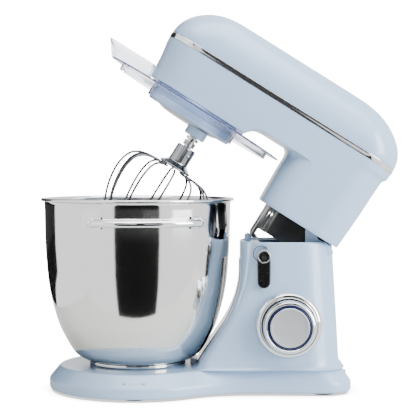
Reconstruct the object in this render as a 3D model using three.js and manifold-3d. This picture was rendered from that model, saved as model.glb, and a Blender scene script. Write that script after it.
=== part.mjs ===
// A tilt-head stand mixer: base with column, bowl, tilting head with its drive, planetary
// hub, whisk and splash guard. Millimetres, +Z up, bowl at -X, column at +X, knob on -Y.
// The head is drawn closed and then raised about the hinge.
import * as THREE from 'three';
import { mergeVertices, mergeGeometries } from 'three/addons/utils/BufferGeometryUtils.js';
import Module from 'manifold-3d';

const wasm = await Module();
wasm.setup();

// ---------------------------------------------------------------- driving sizes
const GAP = 0.3; // between pieces that touch or turn in each other
const WALL = 2.6; // shell wall
const BOWL_X = -103; // axis of the bowl and of the planetary drive
const RIM_R = 122; // bowl rim, outside
const RIM_Z = 241.5;
const BASE_R = 112; // round front of the base
const BASE_TOP = 31.4;
const FOOT_Z = BASE_TOP + GAP; // underside of the bowl's foot ring
const BOWL_Z = FOOT_Z + 4.8; // underside of the bowl itself
const BASE_LOW = 3.2;
const COL_TOP = 188;
const COL_W = 55.3; // column half-width at the top
const HINGE_X = 125;
const HINGE_Z = 172.2;
const TILT = 32; // degrees, raised
const HEAD_X0 = -177.2; // head, closed: front and rear ends at the trim band
const HEAD_X1 = 149.5;
const HEAD_W = 58.5; // head half-width
const HEAD_TOP = 364;
const BAND_Z0 = 303.2;
const BAND_Z1 = 309.8;
const POD_Z = 249; // underside of the head's front
const NECK_Z = 189.5; // underside of the neck
const NECK_X0 = 24.8;
const NECK_X1 = 143.6;
const KNOB_X = 85;
const KNOB_Z = 86.5;
const LEVER_X = 54.5;
const LEVER_Z = 171;
const ORBIT = 30; // whisk spindle from the bowl axis
const ORBIT_AT = -53.7; // degrees round the bowl axis
const MODULE = 2.5; // gear tooth size
const RING_TEETH = 36;
const PLANET_TEETH = RING_TEETH - (2 * ORBIT) / MODULE;
const MAIN_TEETH = 28;
const LAY_TEETH = 12;
const LAY_X = BOWL_X + (MODULE * (MAIN_TEETH + LAY_TEETH)) / 2;
const MOTOR_X = 76;
const BELT_Z = 334;
const WHISK_R = 62.5;
const WHISK_TIP = 43;
const GUARD_R = 123.5;
const GUARD_Z = 243;

// ---------------------------------------------------------------- materials
const mat = (name, color, roughness, metalness = 0, opacity = 1) => {
  const m = new THREE.MeshStandardMaterial({ color, roughness, metalness });
  if (opacity < 1) Object.assign(m, { transparent: true, opacity });
  m.name = name;
  return m;
};
const BODY = mat('body_paint', 0xb9cad9, 0.3);
const CHROME = mat('chrome', 0xd9dadc, 0.08, 1);
const STEEL = mat('steel', 0x9a9ca0, 0.35, 1);
const BOWL_STEEL = mat('bowl_steel', 0xc8c9cb, 0.12, 1);
const BRUSHED = mat('brushed_disc', 0xc3c4c6, 0.3, 1);
const BLACK = mat('black_plastic', 0x16181b, 0.25);
const RUBBER = mat('rubber', 0x2a2b2d, 0.8);
const CLEAR = mat('clear_guard', 0x98a3cf, 0.08, 0, 0.35);
const NAVY = mat('light_ring', 0x0b1646, 0.2);
const COPPER = mat('winding', 0xa8623a, 0.4, 1);
const GREEN = mat('board', 0x2f6b45, 0.5);
const ALU = mat('cast_metal', 0x9fa3a8, 0.4, 1);

// ---------------------------------------------------------------- helpers
const rad = THREE.MathUtils.degToRad;
const V2 = (x, y) => new THREE.Vector2(x, y);
const V3 = (x, y, z) => new THREE.Vector3(x, y, z);
const bare = (g) => {
  g = g.clone();
  for (const a of ['normal', 'uv']) g.deleteAttribute(a);
  return mergeVertices(g, 1e-4);
};
const solid = (g) => {
  const b = bare(g);
  return new wasm.Manifold(new wasm.Mesh({ numProp: 3,
    vertProperties: new Float32Array(b.attributes.position.array),
    triVerts: new Uint32Array(b.index.array) }));
};
const geo = (m) => {
  const mesh = m.getMesh();
  const g = new THREE.BufferGeometry();
  g.setAttribute('position', new THREE.BufferAttribute(new Float32Array(mesh.vertProperties), 3));
  g.setIndex(new THREE.BufferAttribute(new Uint32Array(mesh.triVerts), 1));
  return g;
};
const cut = (a, ...bs) => geo(bs.reduce((m, b) => m.subtract(solid(b)), solid(a)));
const join = (a, ...bs) => geo(bs.reduce((m, b) => m.add(solid(b)), solid(a)));
const box = (x0, x1, y0, y1, z0, z1) =>
  new THREE.BoxGeometry(x1 - x0, y1 - y0, z1 - z0)
    .translate((x0 + x1) / 2, (y0 + y1) / 2, (z0 + z1) / 2);
// a turned piece about a vertical axis at (x, y): pts are [radius, z], in either order
const turned = (pts, n = 24, x = 0, y = 0) => {
  const profile = pts.map((p) => V2(p[0], p[1]));
  if (THREE.ShapeUtils.area(profile) < 0) profile.reverse();
  return new THREE.LatheGeometry(profile, n).rotateX(Math.PI / 2).translate(x, y, 0);
};
const round = (r, z0, z1, x = 0, y = 0, n = 16) =>
  turned([[0, z0], [r, z0], [r, z1], [0, z1]], n, x, y);
const tubeRing = (r0, r1, z0, z1, x = 0, y = 0, n = 24) =>
  turned([[r0, z0], [r1, z0], [r1, z1], [r0, z1], [r0, z0]], n, x, y);
// the same along Y: from y0 to y1 about (x, z)
const toY = (g, x, z) => g.rotateX(-Math.PI / 2).translate(x, 0, z);
const roundY = (r, y0, y1, x, z, n = 16) => toY(round(r, y0, y1, 0, 0, n), x, z);
const ringY = (r0, r1, y0, y1, x, z, n = 24) => toY(tubeRing(r0, r1, y0, y1, 0, 0, n), x, z);
// body through a stack of rings with equal point counts
const loft = (rings) => {
  const n = rings[0].length;
  const pos = rings.flat(2);
  const idx = [];
  for (let k = 0; k + 1 < rings.length; k++)
    for (let i = 0; i < n; i++) {
      const a = k * n + i;
      const b = k * n + ((i + 1) % n);
      idx.push(a, b, b + n, a, b + n, a + n);
    }
  const flat = (ring) => ring.map((p) => V2(p[0], p[1]));
  const last = (rings.length - 1) * n;
  for (const t of THREE.ShapeUtils.triangulateShape(flat(rings[0]), []))
    idx.push(t[2], t[1], t[0]);
  for (const t of THREE.ShapeUtils.triangulateShape(flat(rings[rings.length - 1]), []))
    idx.push(last + t[0], last + t[1], last + t[2]);
  const g = new THREE.BufferGeometry();
  g.setAttribute('position', new THREE.Float32BufferAttribute(pos, 3));
  g.setIndex(idx);
  return g;
};
// rounded rectangle, front x0, rear x1, half-width w; corner radii rf (front) and rb (rear)
const slab = (x0, x1, w, rf, rb, z, n = 5) => {
  const out = [];
  const arc = (cx, cy, r, from) => {
    for (let i = 0; i <= n; i++) {
      const a = rad(from + (90 * i) / n);
      out.push([cx + r * Math.cos(a), cy + r * Math.sin(a), z]);
    }
  };
  arc(x1 - rb, w - rb, rb, 0);
  arc(x0 + rf, w - rf, rf, 90);
  arc(x0 + rf, -w + rf, rf, 180);
  arc(x1 - rb, -w + rb, rb, 270);
  return out;
};
const plate = (points, z0, z1) => {
  const g = new THREE.ExtrudeGeometry(new THREE.Shape(points.map((p) => V2(p[0], p[1]))),
    { depth: z1 - z0, bevelEnabled: false });
  return g.translate(0, 0, z0);
};
// outline in X and Z, from y0 to y1
const sidePlate = (points, y0, y1) => {
  const g = new THREE.ExtrudeGeometry(new THREE.Shape(points.map((p) => V2(p[0], p[1]))),
    { depth: y1 - y0, bevelEnabled: false });
  return g.rotateX(Math.PI / 2).translate(0, y1, 0);
};
const wire = (pts, r, steps, sides = 6) => {
  const path = new THREE.CatmullRomCurve3(pts, false, 'catmullrom', 0.5);
  const shape = new THREE.Shape(Array.from({ length: sides }, (_, i) =>
    V2(r * Math.cos((2 * Math.PI * i) / sides), r * Math.sin((2 * Math.PI * i) / sides))));
  return new THREE.ExtrudeGeometry(shape, { steps, extrudePath: path, bevelEnabled: false });
};
// involute outline: one tooth centred on angle `at`; grow widens every tooth
const gearOutline = (teeth, tip, root, grow, at) => {
  const base = ((MODULE * teeth) / 2) * Math.cos(rad(20));
  const inv = (a) => Math.tan(a) - a;
  const half = (r) => {
    const c = Math.min(1, base / Math.max(r, base));
    return (Math.PI / 2 + grow / MODULE) / teeth + inv(rad(20)) - inv(Math.acos(c));
  };
  const out = [];
  for (let k = 0; k < teeth; k++) {
    const mid = at + (2 * Math.PI * k) / teeth;
    for (const [r, s] of [[root, -1], [tip, -1], [tip, 1], [root, 1]])
      out.push([r * Math.cos(mid + s * half(r)), r * Math.sin(mid + s * half(r))]);
  }
  return out;
};
const gear = (teeth, grow, at, z0, z1, bore) => {
  const pitch = (MODULE * teeth) / 2;
  const body = plate(gearOutline(teeth, pitch + 0.8 * MODULE, pitch - 1.15 * MODULE, grow, at), z0, z1);
  return bore ? cut(body, round(bore, z0 - 1, z1 + 1, 0, 0, 20)) : body;
};

const mixer = new THREE.Group();
mixer.name = 'stand_mixer';
const head = new THREE.Group();
head.position.set(HINGE_X, 0, HINGE_Z);
head.rotation.y = rad(TILT);
mixer.add(head);
const add = (name, geometry, material, parent = mixer) => {
  const g = parent === head ? geometry.clone().translate(-HINGE_X, 0, -HINGE_Z) : geometry;
  const mesh = new THREE.Mesh(bare(g), material);
  mesh.name = name;
  parent.add(mesh);
};

// ---------------------------------------------------------------- base and column
// plan of the base: round front, narrower waist, rounded rear
const baseRing = (r, waist, w, x1, z) => {
  const s = new THREE.Shape();
  const a = rad(52);
  const px = BOWL_X + r * Math.cos(a);
  const py = r * Math.sin(a);
  const c = 34;
  s.moveTo(x1, 0);
  s.lineTo(x1, w - c);
  s.absarc(x1 - c, w - c, c, 0, Math.PI / 2, false);
  s.bezierCurveTo(x1 - c - 20, w, 70, waist, 36, waist);
  s.bezierCurveTo(10, waist, px + 0.55 * 38, py - 0.43 * 38, px, py);
  s.absarc(BOWL_X, 0, r, a, 2 * Math.PI - a, false);
  s.bezierCurveTo(px + 0.55 * 38, -py + 0.43 * 38, 10, -waist, 36, -waist);
  s.bezierCurveTo(70, -waist, x1 - c - 20, -w, x1 - c, -w);
  s.absarc(x1 - c, -w + c, c, -Math.PI / 2, 0, false);
  s.closePath();
  const pts = s.getSpacedPoints(40);
  pts.pop();
  return pts.map((p) => [p.x, p.y, z]);
};
const baseBody = (d) => loft([
  baseRing(BASE_R - 1.6 - d, 64 - d, 67.5 - d, 162.5 - d, d ? 0 : BASE_LOW),
  ...(d ? [] : [baseRing(BASE_R, 65.5, 69, 164, BASE_LOW + 2.2)]),
  baseRing(BASE_R - d, 65.5 - d, 69 - d, 164 - d, 15),
  baseRing(BASE_R - 5.2 - d, 62.5 - d, 66.6 - d, 160 - d, 23 - d * 0.7),
  baseRing(BASE_R - 13.6 - d, 56.5 - d, 63 - d, 151 - d, BASE_TOP - d),
]);
// column: front edge follows the curve behind the bowl
const colFront = (z) => {
  if (z >= 145) return 26.2;
  if (z >= 87.6) {
    const t = (145 - z) / (145 - 87.6);
    return 26.2 - 18.6 * t * t * 0.72 - 18.6 * 0.28 * t;
  }
  return 7.6 - (87.6 - z) * 0.68;
};
const colWidth = (z) => COL_W + (z < 178 ? ((178 - z) / 150) * 8.6 : 0);
const colRear = (z) => 142.4 + ((181 - Math.min(z, 181)) / 148) * 8;
const colCorner = (z) => Math.min(43, Math.max(15, 15 + (z - 110) * 0.36)); // front corners
const column = (d) => {
  const zs = d ? [20, 87.6, 118, 145, 181 - d] : [16, 87.6, 103, 118, 145, 181];
  const rings = zs.map((z) => slab(colFront(z) + d, colRear(z) - d, colWidth(z) - d,
    colCorner(z) - d, 43 - d, z, 4));
  rings.push(slab(26.2 + d, 140.6 - d, COL_W - d, 42 - d, 41 - d, 186 - d, 4));
  rings.push(slab(27.4 + d, 138 - d, COL_W - 1.2 - d, 41 - d, 39 - d, COL_TOP - d, 4));
  return loft(rings);
};
// hinge cheek: holds the pin, and its top rises inside the neck
const ear = (y0, y1) => sidePlate([[142, 172.2], [140, 180], [132, 186.5], [122, 191], [119, 203],
  [116, 206], [110, 206], [106.5, 203], [106.5, 172.2]], y0, y1);
const trimHalf = 21;
const CHEEK = 36.4; // inner face of the hinge cheeks
const SEAT_R = 51; // bowl seat, outside
const SEAT_TOP = BASE_TOP + 4.6;
const LUG_AT = 30; // lugs sit under the hooks when the bowl is locked
{
  const well = join(box(50, 137.2, -CHEEK, CHEEK, 150, 200), box(31.5, 60, 24, 36, 150, 200),
    box(31.5, 60, -36, -24, 150, 200));
  let shell = cut(join(baseBody(0), column(0),
    roundY(41.6, -colWidth(KNOB_Z) - 0.9, -50, KNOB_X, KNOB_Z, 28)), join(baseBody(WALL), column(WALL)), well);
  const ribs = [1, -1].map((s) => box(106, 145, s > 0 ? CHEEK : -52, s > 0 ? 52 : -CHEEK, 152, 186));
  const inside = column(0.6);
  shell = join(shell, geo(solid(ribs[0]).intersect(solid(inside))),
    geo(solid(ribs[1]).intersect(solid(inside))), ear(CHEEK, 39.4), ear(-39.4, -CHEEK));
  shell = cut(shell, roundY(4.6, -44, 44, HINGE_X, HINGE_Z), // hinge pin
    roundY(6.4, -80, -40, KNOB_X, KNOB_Z), // knob shaft
    roundY(42, -80, -colWidth(KNOB_Z) - 0.9, KNOB_X, KNOB_Z, 28), // flat seat of the knob
    roundY(6.8, -80, -40, LEVER_X, LEVER_Z), // lever shaft
    round(3.4, 180, 200, 36.5, 0), // interlock
    round(46, 25, 40, BOWL_X, 0, 28), // opening closed by the bowl seat
    new THREE.CylinderGeometry(5.6, 5.6, 30, 24).rotateZ(Math.PI / 2).translate(158, 30, 12.8),
    // recess for the trim band down the front of the column
    loft([165.4, 145, 132, 118, 103, 87.6, 64, 40, 33.4].reverse().map((z) => {
      const x = colFront(z);
      return [[x - 8, -trimHalf - GAP, z], [x + 1.3, -trimHalf - GAP, z],
        [x + 1.3, trimHalf + GAP, z], [x - 8, trimHalf + GAP, z]];
    })));
  add('base_housing', shell, BODY);
}
add('column_trim', (() => {
  const zs = [34, 40, 64, 87.6, 103, 118, 132, 145, 165];
  return loft(zs.map((z) => {
    const x = colFront(z);
    return [[x - 0.9, -trimHalf + 1, z], [x + 1, -trimHalf, z], [x + 1, trimHalf, z],
      [x - 0.9, trimHalf - 1, z]];
  }));
})(), CHROME);
add('base_plate', (() => {
  const d = WALL + 0.5;
  const ring = (z) => baseRing(BASE_R - 1.6 - d, 64 - d, 67.5 - d, 162.5 - d, z);
  return loft([ring(3.6), ring(5.2)]);
})(), STEEL);
const FEET = [[-103, -86], [-103, 86], [-190, 0], [128, -45], [128, 45]];
FEET.forEach(([x, y], i) => add(`foot_${i + 1}`,
  turned([[0, 0.8], [9, 0.8], [10, 0], [14, 0], [13.4, 3.3], [0, 3.3]], 12, x, y), RUBBER));
// bowl seat: a ring with three bayonet hooks round the bowl's foot
add('bowl_seat', (() => {
  let g = turned([[38, BASE_TOP - WALL - 4], [45.4, BASE_TOP - WALL - 4], [45.4, BASE_TOP + GAP],
    [SEAT_R, BASE_TOP + GAP], [SEAT_R, SEAT_TOP], [38, SEAT_TOP], [38, BASE_TOP - WALL - 4]], 28);
  for (let k = 0; k < 3; k++) {
    const hook = plate([[SEAT_R - 2, -10], [SEAT_R + 4, -9], [SEAT_R + 4, 9], [SEAT_R - 2, 10]],
      SEAT_TOP - 1.8, SEAT_TOP);
    g = join(g, hook.rotateZ(rad(120 * k + LUG_AT)));
  }
  return g.translate(BOWL_X, 0, 0);
})(), STEEL);
add('knob_bezel', (() => {
  const wall = -colWidth(KNOB_Z);
  return ringY(33.2, 41, wall - 7.5, wall - GAP - 0.9, KNOB_X, KNOB_Z, 24);
})(), CHROME);
const KY = -colWidth(KNOB_Z); // column surface at the knob
add('speed_switch', join(box(KNOB_X - 17, KNOB_X + 17, KY + WALL + 4, KY + WALL + 22, KNOB_Z - 17,
  KNOB_Z + 17), ringY(5.4, 8.4, KY + WALL + 1.2, KY + WALL + 4.5, KNOB_X, KNOB_Z, 16)), BLACK);
add('control_board', join(box(60, 128, -20, -18.2, 36, 130), box(70, 90, -18.3, -6, 60, 84),
  box(98, 118, -18.3, -2, 50, 78), box(74, 84, -18.3, -10, 96, 116)), GREEN);
add('hinge_pin', roundY(4.5, -43.6, 43.6, HINGE_X, HINGE_Z), STEEL);
add('interlock_post', turned([[2.3, COL_TOP - WALL - 3], [3.3, COL_TOP - WALL - 3], [3.3, COL_TOP + GAP],
  [4.6, COL_TOP + GAP], [4.6, COL_TOP + 7], [4, COL_TOP + 7.6], [2.3, COL_TOP + 7.6],
  [2.3, COL_TOP - WALL - 3]], 12, 36.5, 0), BODY);
add('cord_gland', turned([[3.4, -13], [7.1, -13], [7.1, -7], [5.3, -7], [5.3, 1.7], [3.4, 1.7],
  [3.4, -13]], 12).rotateY(Math.PI / 2).translate(162.3, 30, 12.8), RUBBER);
add('interlock_pin', join(round(2, 176, COL_TOP + 9.2, 36.5, 0, 16),
  round(3.2, 176, 179, 36.5, 0, 16)), STEEL);

// ---------------------------------------------------------------- knob and lever
add('speed_knob', (() => {
  const y = KY - 0.9 - GAP;
  const cap = turned([[0, 26], [24.1, 26], [24.1, 22.8], [26.6, 22.8], [26.6, 25.4], [28, 26],
    [30.4, 26], [32.4, 23.6], [32.7, 3.5], [30, 3.5], [30, 20], [5, 20], [5, -6],
    [0, -6]], 24);
  return cap.rotateX(Math.PI / 2).translate(KNOB_X, y, KNOB_Z);
})(), CHROME);
add('knob_light_ring', turned([[24.4, 23.1], [26.3, 23.1], [26.3, 25.8], [24.4, 25.8], [24.4, 23.1]], 24)
  .rotateX(Math.PI / 2).translate(KNOB_X, KY - 0.9 - GAP, KNOB_Z), NAVY);
add('knob_cap', turned([[0, 26 + GAP], [23.4, 26 + GAP], [24, 26.9], [0, 27.7]], 24)
  .rotateX(Math.PI / 2).translate(KNOB_X, KY - 0.9 - GAP, KNOB_Z), BRUSHED);
const LY = -colWidth(LEVER_Z - 39.4); // column surface at the foot of the lever
add('tilt_lever', (() => {
  const pts = [];
  for (let i = 0; i <= 7; i++) {
    const a = rad(180 * (i / 7));
    pts.push([8.3 * Math.cos(a), 8.3 * Math.sin(a)]);
  }
  for (let i = 0; i <= 7; i++) {
    const a = rad(180 + 180 * (i / 7));
    pts.push([8 * Math.cos(a), -31 + 8 * Math.sin(a)]);
  }
  const blade = sidePlate(pts.map((p) => [p[0] + LEVER_X, p[1] + LEVER_Z]), LY - 8, LY - GAP - 0.5);
  return cut(blade, ringY(5.7, 8, LY - 10, LY - 6.6, LEVER_X, LEVER_Z, 16));
})(), BLACK);
add('lever_ring', ringY(6, 7.7, LY - 8.5, LY - 6.9, LEVER_X, LEVER_Z, 16), CHROME);
add('lever_shaft', join(roundY(6.3, LY - 0.5, LY + 17, LEVER_X, LEVER_Z, 20),
  sidePlate([[LEVER_X - 3, LEVER_Z - 4], [LEVER_X + 3, LEVER_Z - 4], [LEVER_X + 2, LEVER_Z - 11],
    [LEVER_X - 2, LEVER_Z - 11]], LY + 14, LY + 17)), STEEL);
// latch bar: slides along X into the hooked plates of the head
add('latch_bar', join(box(61, 71, -38.5, 36, 151.6, 156.4), box(55.5, 62, -32.5, -27.5, 151.6, 156.4),
  box(55.5, 62, 27.5, 32.5, 151.6, 156.4)), STEEL);

// ---------------------------------------------------------------- bowl
// outside of the wall: radius, height
const BOWL_OUT = [[61.7706, 36.8], [72.0657, 41], [81.5982, 49.5], [92.783, 68.5],
  [100.6632, 86], [107.9079, 111.5], [112.6106, 137], [115.0255, 162.3], [116.5507, 187.7],
  [RIM_R - 4.62315, 229]];
add('bowl', (() => {
  const inner = BOWL_OUT.filter((_, i) => i % 2)
    .map(([r, z]) => [r - 2.2, z + (z < 60 ? 1.6 : 0.4)]).reverse();
  return turned([[0, BOWL_Z], [57, BOWL_Z], ...BOWL_OUT, [RIM_R - 4.4, 237], [RIM_R - 2.6, 238.3],
    [RIM_R - 0.6, 238], [RIM_R, 239.8], [RIM_R - 0.7, RIM_Z], [RIM_R - 3.4, RIM_Z],
    [RIM_R - 5.6, 240], ...inner,
    [56, BOWL_Z + 1.3], [0, BOWL_Z + 1.3]], 34, BOWL_X, 0);
})(), BOWL_STEEL);
// foot ring with three lugs that turn under the seat's hooks
add('bowl_foot', (() => {
  let g = turned([[58, FOOT_Z], [60.6, FOOT_Z], [61.4, BOWL_Z - GAP], [58, BOWL_Z - GAP], [58, FOOT_Z]], 32);
  for (let k = 0; k < 3; k++) {
    const lug = plate([[SEAT_R + 1, -8], [59, -9], [59, 9], [SEAT_R + 1, 8]], FOOT_Z + 0.3, FOOT_Z + 1.8);
    g = join(g, lug.rotateZ(rad(120 * k + LUG_AT)));
  }
  return g.translate(BOWL_X, 0, 0);
})(), BOWL_STEEL);
const handle = (turn) => {
  const r = 117.4;
  const pts = [];
  for (let i = -6; i <= 6; i++) {
    const a = rad(i * 5.1);
    const rr = r + 17.5 - 4.5 * Math.pow(i / 6, 4);
    pts.push(V3(rr * Math.sin(a), -rr * Math.cos(a), 214));
  }
  let g = solid(wire(pts, 4.4, 10, 7));
  for (const s of [-1, 1]) {
    const leg = box(-5, 5, -r - 15.6, -r - 1.3, 209.6, 218.4);
    const pad = box(-8, 8, -r - 2.8, -r - 0.75, 206.5, 221.5);
    g = g.add(solid(join(leg, pad).rotateZ(rad(s * 30.6))));
  }
  const b = solid(round(117.7, 200, 230, 0, 0, 40)); // hugs the wall of the bowl
  return geo(g.subtract(b)).rotateZ(rad(turn)).translate(BOWL_X, 0, 0);
};
add('bowl_handle_near', handle(8.5), CHROME);
add('bowl_handle_far', handle(188.5), CHROME);

// ---------------------------------------------------------------- head shells
const topRing = (z, x0, x1, w, r) => slab(x0, x1, w, r, r, z);
const HEAD_R = 44;
const topShell = (d) => loft([
  topRing(d ? BAND_Z0 : BAND_Z1 + 0.15, HEAD_X0 + d, HEAD_X1 - d, HEAD_W - d, HEAD_R - d),
  topRing(322, HEAD_X0 + 2.2 + d, HEAD_X1 - 2.6 - d, HEAD_W - 1.4 - d, HEAD_R - d),
  topRing(335, HEAD_X0 + 8 + d, HEAD_X1 - 9 - d, HEAD_W - 5.4 - d, HEAD_R - d),
  topRing(346, HEAD_X0 + 17 + d, HEAD_X1 - 19 - d, HEAD_W - 12 - d, HEAD_R - 2 - d),
  topRing(355 - d * 0.4, HEAD_X0 + 29.5 + d, HEAD_X1 - 32 - d, HEAD_W - 21.5 - d, 36 - d),
  topRing(361 - d * 0.7, HEAD_X0 + 43 + d, HEAD_X1 - 46 - d, HEAD_W - 33 - d, 25 - d * 0.7),
  topRing(HEAD_TOP - d, HEAD_X0 + 60, HEAD_X1 - 62, HEAD_W - 46, 12),
]);
add('head_top_cover', cut(topShell(0), topShell(WALL)), BODY, head);
add('head_trim_band', cut(
  loft([topRing(BAND_Z0, HEAD_X0 - 0.5, HEAD_X1 + 0.5, HEAD_W + 0.5, HEAD_R + 0.4),
    topRing(BAND_Z1 - 0.15, HEAD_X0 - 0.5, HEAD_X1 + 0.5, HEAD_W + 0.5, HEAD_R + 0.4)]),
  loft([topRing(BAND_Z0 - 1, HEAD_X0 + 2, HEAD_X1 - 2, HEAD_W - 2, HEAD_R - 2),
    topRing(BAND_Z1 + 1, HEAD_X0 + 2, HEAD_X1 - 2, HEAD_W - 2, HEAD_R - 2)])), CHROME, head);
// lower housing: side view cut from a loft, so the front hangs over the bowl and the
// neck reaches down to the column
const FLANGE_R = 58.5;
const lowerBlock = (d) => loft([
  slab(NECK_X0 + 2.3 - 220 + d, NECK_X1 - 2.8 - d, HEAD_W - 0.3 - d, HEAD_R - d, HEAD_R - d, d ? 180 : NECK_Z),
  slab(HEAD_X0 + 7 + d, NECK_X1 - d, HEAD_W - d, HEAD_R - d, HEAD_R - d, POD_Z),
  slab(HEAD_X0 + 3.6 + d, NECK_X1 + 0.6 - d, HEAD_W - d, HEAD_R - d, HEAD_R - d, 276),
  slab(HEAD_X0 + 1.4 + d, HEAD_X1 - 4.6 - d, HEAD_W - d, HEAD_R - d, HEAD_R - d, 291),
  slab(HEAD_X0 + 0.6 + d, HEAD_X1 - 0.6 - d, HEAD_W - d, HEAD_R - d, HEAD_R - d, 293),
  slab(HEAD_X0 + d, HEAD_X1 - d, HEAD_W - d, HEAD_R - d, HEAD_R - d, d ? BAND_Z1 : BAND_Z0 - 0.15),
]);
// what is taken away below: everything ahead of the neck and under the pod, with the arch
const under = (d) => {
  const s = [[-260, 150], [NECK_X0 + 1.9 + d, 150], [NECK_X0 + d * 0.9, 236]];
  for (let i = 0; i <= 5; i++) { // corner between neck and arch
    const a = rad(i * 18);
    s.push([NECK_X0 - 18 + (18 + d * 0.9) * Math.cos(a), 245 + (18 + d * 0.9) * Math.sin(a)]);
  }
  s.push([-16, 263 + d * 0.9], [-24, 261.5 + d * 0.9], [-30, 257 + d * 0.9], [-35, POD_Z + d],
    [-260, POD_Z + d]);
  return sidePlate(s, -90, 90);
};
// neck front corners are rounded in plan
const neckRound = (d) => {
  const tool = box(-60, NECK_X0 + 34, -90, 90, 150, 262);
  const keep = loft([slab(NECK_X0 + 1.9 + d, 200, HEAD_W - d, 34 - d, 20, 149),
    slab(NECK_X0 + d, 200, HEAD_W - d, 34 - d, 20, 236),
    slab(NECK_X0 - 3 + d, 200, HEAD_W - d, 34 - d, 20, 252),
    slab(NECK_X0 - 26 + d, 200, HEAD_W - d, 34 - d, 20, 263)]);
  return cut(tool, keep);
};
add('head_lower_housing', (() => {
  const outer = cut(lowerBlock(0), under(0), neckRound(0));
  const inner = cut(lowerBlock(WALL), under(WALL), neckRound(WALL));
  return cut(outer, inner, round(FLANGE_R - 4, POD_Z - 10, POD_Z + 10, BOWL_X, 0, 28),
    roundY(4.2, -HEAD_W - 10, -HEAD_W + 1.6, -30, 277, 16));
})(), BODY, head);
// planetary housing with the fixed ring gear
const FZ = 226;
add('planetary_housing', (() => {
  const skirt = turned([[FLANGE_R - 7, FZ], [FLANGE_R - 1, FZ], [FLANGE_R, FZ + 1.5],
    [FLANGE_R, POD_Z - GAP], [FLANGE_R - 4 - GAP, POD_Z - GAP], [FLANGE_R - 4 - GAP, 266],
    [16, 266], [16, 261], [FLANGE_R - 7, 261], [FLANGE_R - 7, FZ]], 28, BOWL_X, 0);
  return cut(skirt, round(7, 250, 270, LAY_X, 0));
})(), ALU, head);
const spindleAt = [BOWL_X + ORBIT * Math.cos(rad(ORBIT_AT)), ORBIT * Math.sin(rad(ORBIT_AT))];
add('ring_gear', (() => {
  const pitch = (MODULE * RING_TEETH) / 2;
  const hole = gearOutline(RING_TEETH, pitch + 1.15 * MODULE, pitch - 0.75 * MODULE, 0.35,
    rad(ORBIT_AT)).map((p) => [p[0], p[1]]);
  return cut(round(FLANGE_R - 7.6, 241, 251, 0, 0, 28), plate(hole, 240, 252)).translate(BOWL_X, 0, 0);
})(), STEEL, head);
// ---------------------------------------------------------------- carrier: turns about the bowl axis
add('planet_hub', cut(
  turned([[0, 222], [20, 222], [36, 223.4], [46, 226.6], [50.6, 231], [51.1, 236], [49.5, 239.6],
    [0, 239.6]], 24),
  round(14.4, 215, 245, spindleAt[0] - BOWL_X, spindleAt[1], 24),
  round(5.2, 230, 245, 0, 0, 20)).translate(BOWL_X, 0, 0), ALU, head);
add('spindle_boss', turned([[5.4, 212], [13, 212], [14, 213.2], [14, 239], [5.4, 239], [5.4, 212]], 16,
  spindleAt[0], spindleAt[1]), BODY, head);
add('main_shaft', join(round(5, 231, 292, BOWL_X, 0), round(9, 266.4, 271.4, BOWL_X, 0)), STEEL, head);
add('main_gear', gear(MAIN_TEETH, -0.3, 0, 272, 282, 5 + GAP).translate(BOWL_X, 0, 0), STEEL, head);
// ---------------------------------------------------------------- spindle, spring and whisk
const [SX, SY] = spindleAt;
const crossHole = (r, len) => new THREE.CylinderGeometry(r, r, len, 12).rotateZ(rad(35))
  .translate(SX, SY, 188);
add('spindle', cut(join(round(5, 181, 252, SX, SY), round(8, 207, 211.6, SX, SY)),
  crossHole(2.3, 40)), STEEL, head);
add('planet_pinion', gear(PLANET_TEETH, -0.3, rad(ORBIT_AT), 241.4, 250.6, 5 + GAP).translate(SX, SY, 0),
  STEEL, head);
add('spindle_spring', (() => {
  const pts = [];
  const turns = 4.5;
  for (let i = 0; i <= turns * 10; i++) {
    const a = (2 * Math.PI * i) / 10;
    pts.push(V3(SX + 7.6 * Math.cos(a), SY + 7.6 * Math.sin(a), 198.9 + (6.6 * i) / (turns * 10)));
  }
  return wire(pts, 0.65, 36, 4);
})(), CHROME, head);
add('whisk_hub', cut(
  turned([[0, 166.8], [20.4, 166.8], [21.5, 168.6], [12.8, 175], [12.6, 196], [11.6, 197.4],
    [5 + GAP, 197.4], [5 + GAP, 180], [0, 180]], 28),
  crossHole(2.3, 40).translate(-SX, -SY, 0)).translate(SX, SY, 0), CHROME, head);
add('drive_pin', crossHole(2, 29), STEEL, head);
// six wire loops, each ending at the hub's skirt; crossing at staggered depths at the tip
const LOOPS = 6;
for (let k = 0; k < LOOPS; k++) {
  const dip = k * 1.9;
  const z = (v) => 166.8 - 1.5 + v;
  const half = [[19.6, z(0)], [34, z(-0.6)], [47, z(-3.4)], [57, z(-11)], [WHISK_R - 0.6, z(-24)],
    [WHISK_R, z(-40)], [WHISK_R - 4, z(-62)], [WHISK_R - 13.5, z(-84)], [WHISK_R - 28, z(-103)],
    [WHISK_R - 46, z(-117) + dip * 0.6]];
  const pts = [...half.map(([r, h]) => V3(r, 0, h)), V3(0, 0, WHISK_TIP + dip),
    ...half.slice().reverse().map(([r, h]) => V3(-r, 0, h))];
  const g = wire(pts, 0.85, 26, 4).rotateZ(rad(5 + 30 * k)).translate(SX, SY, 0);
  add(`whisk_loop_${k + 1}`, g, CHROME, head);
}

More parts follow.
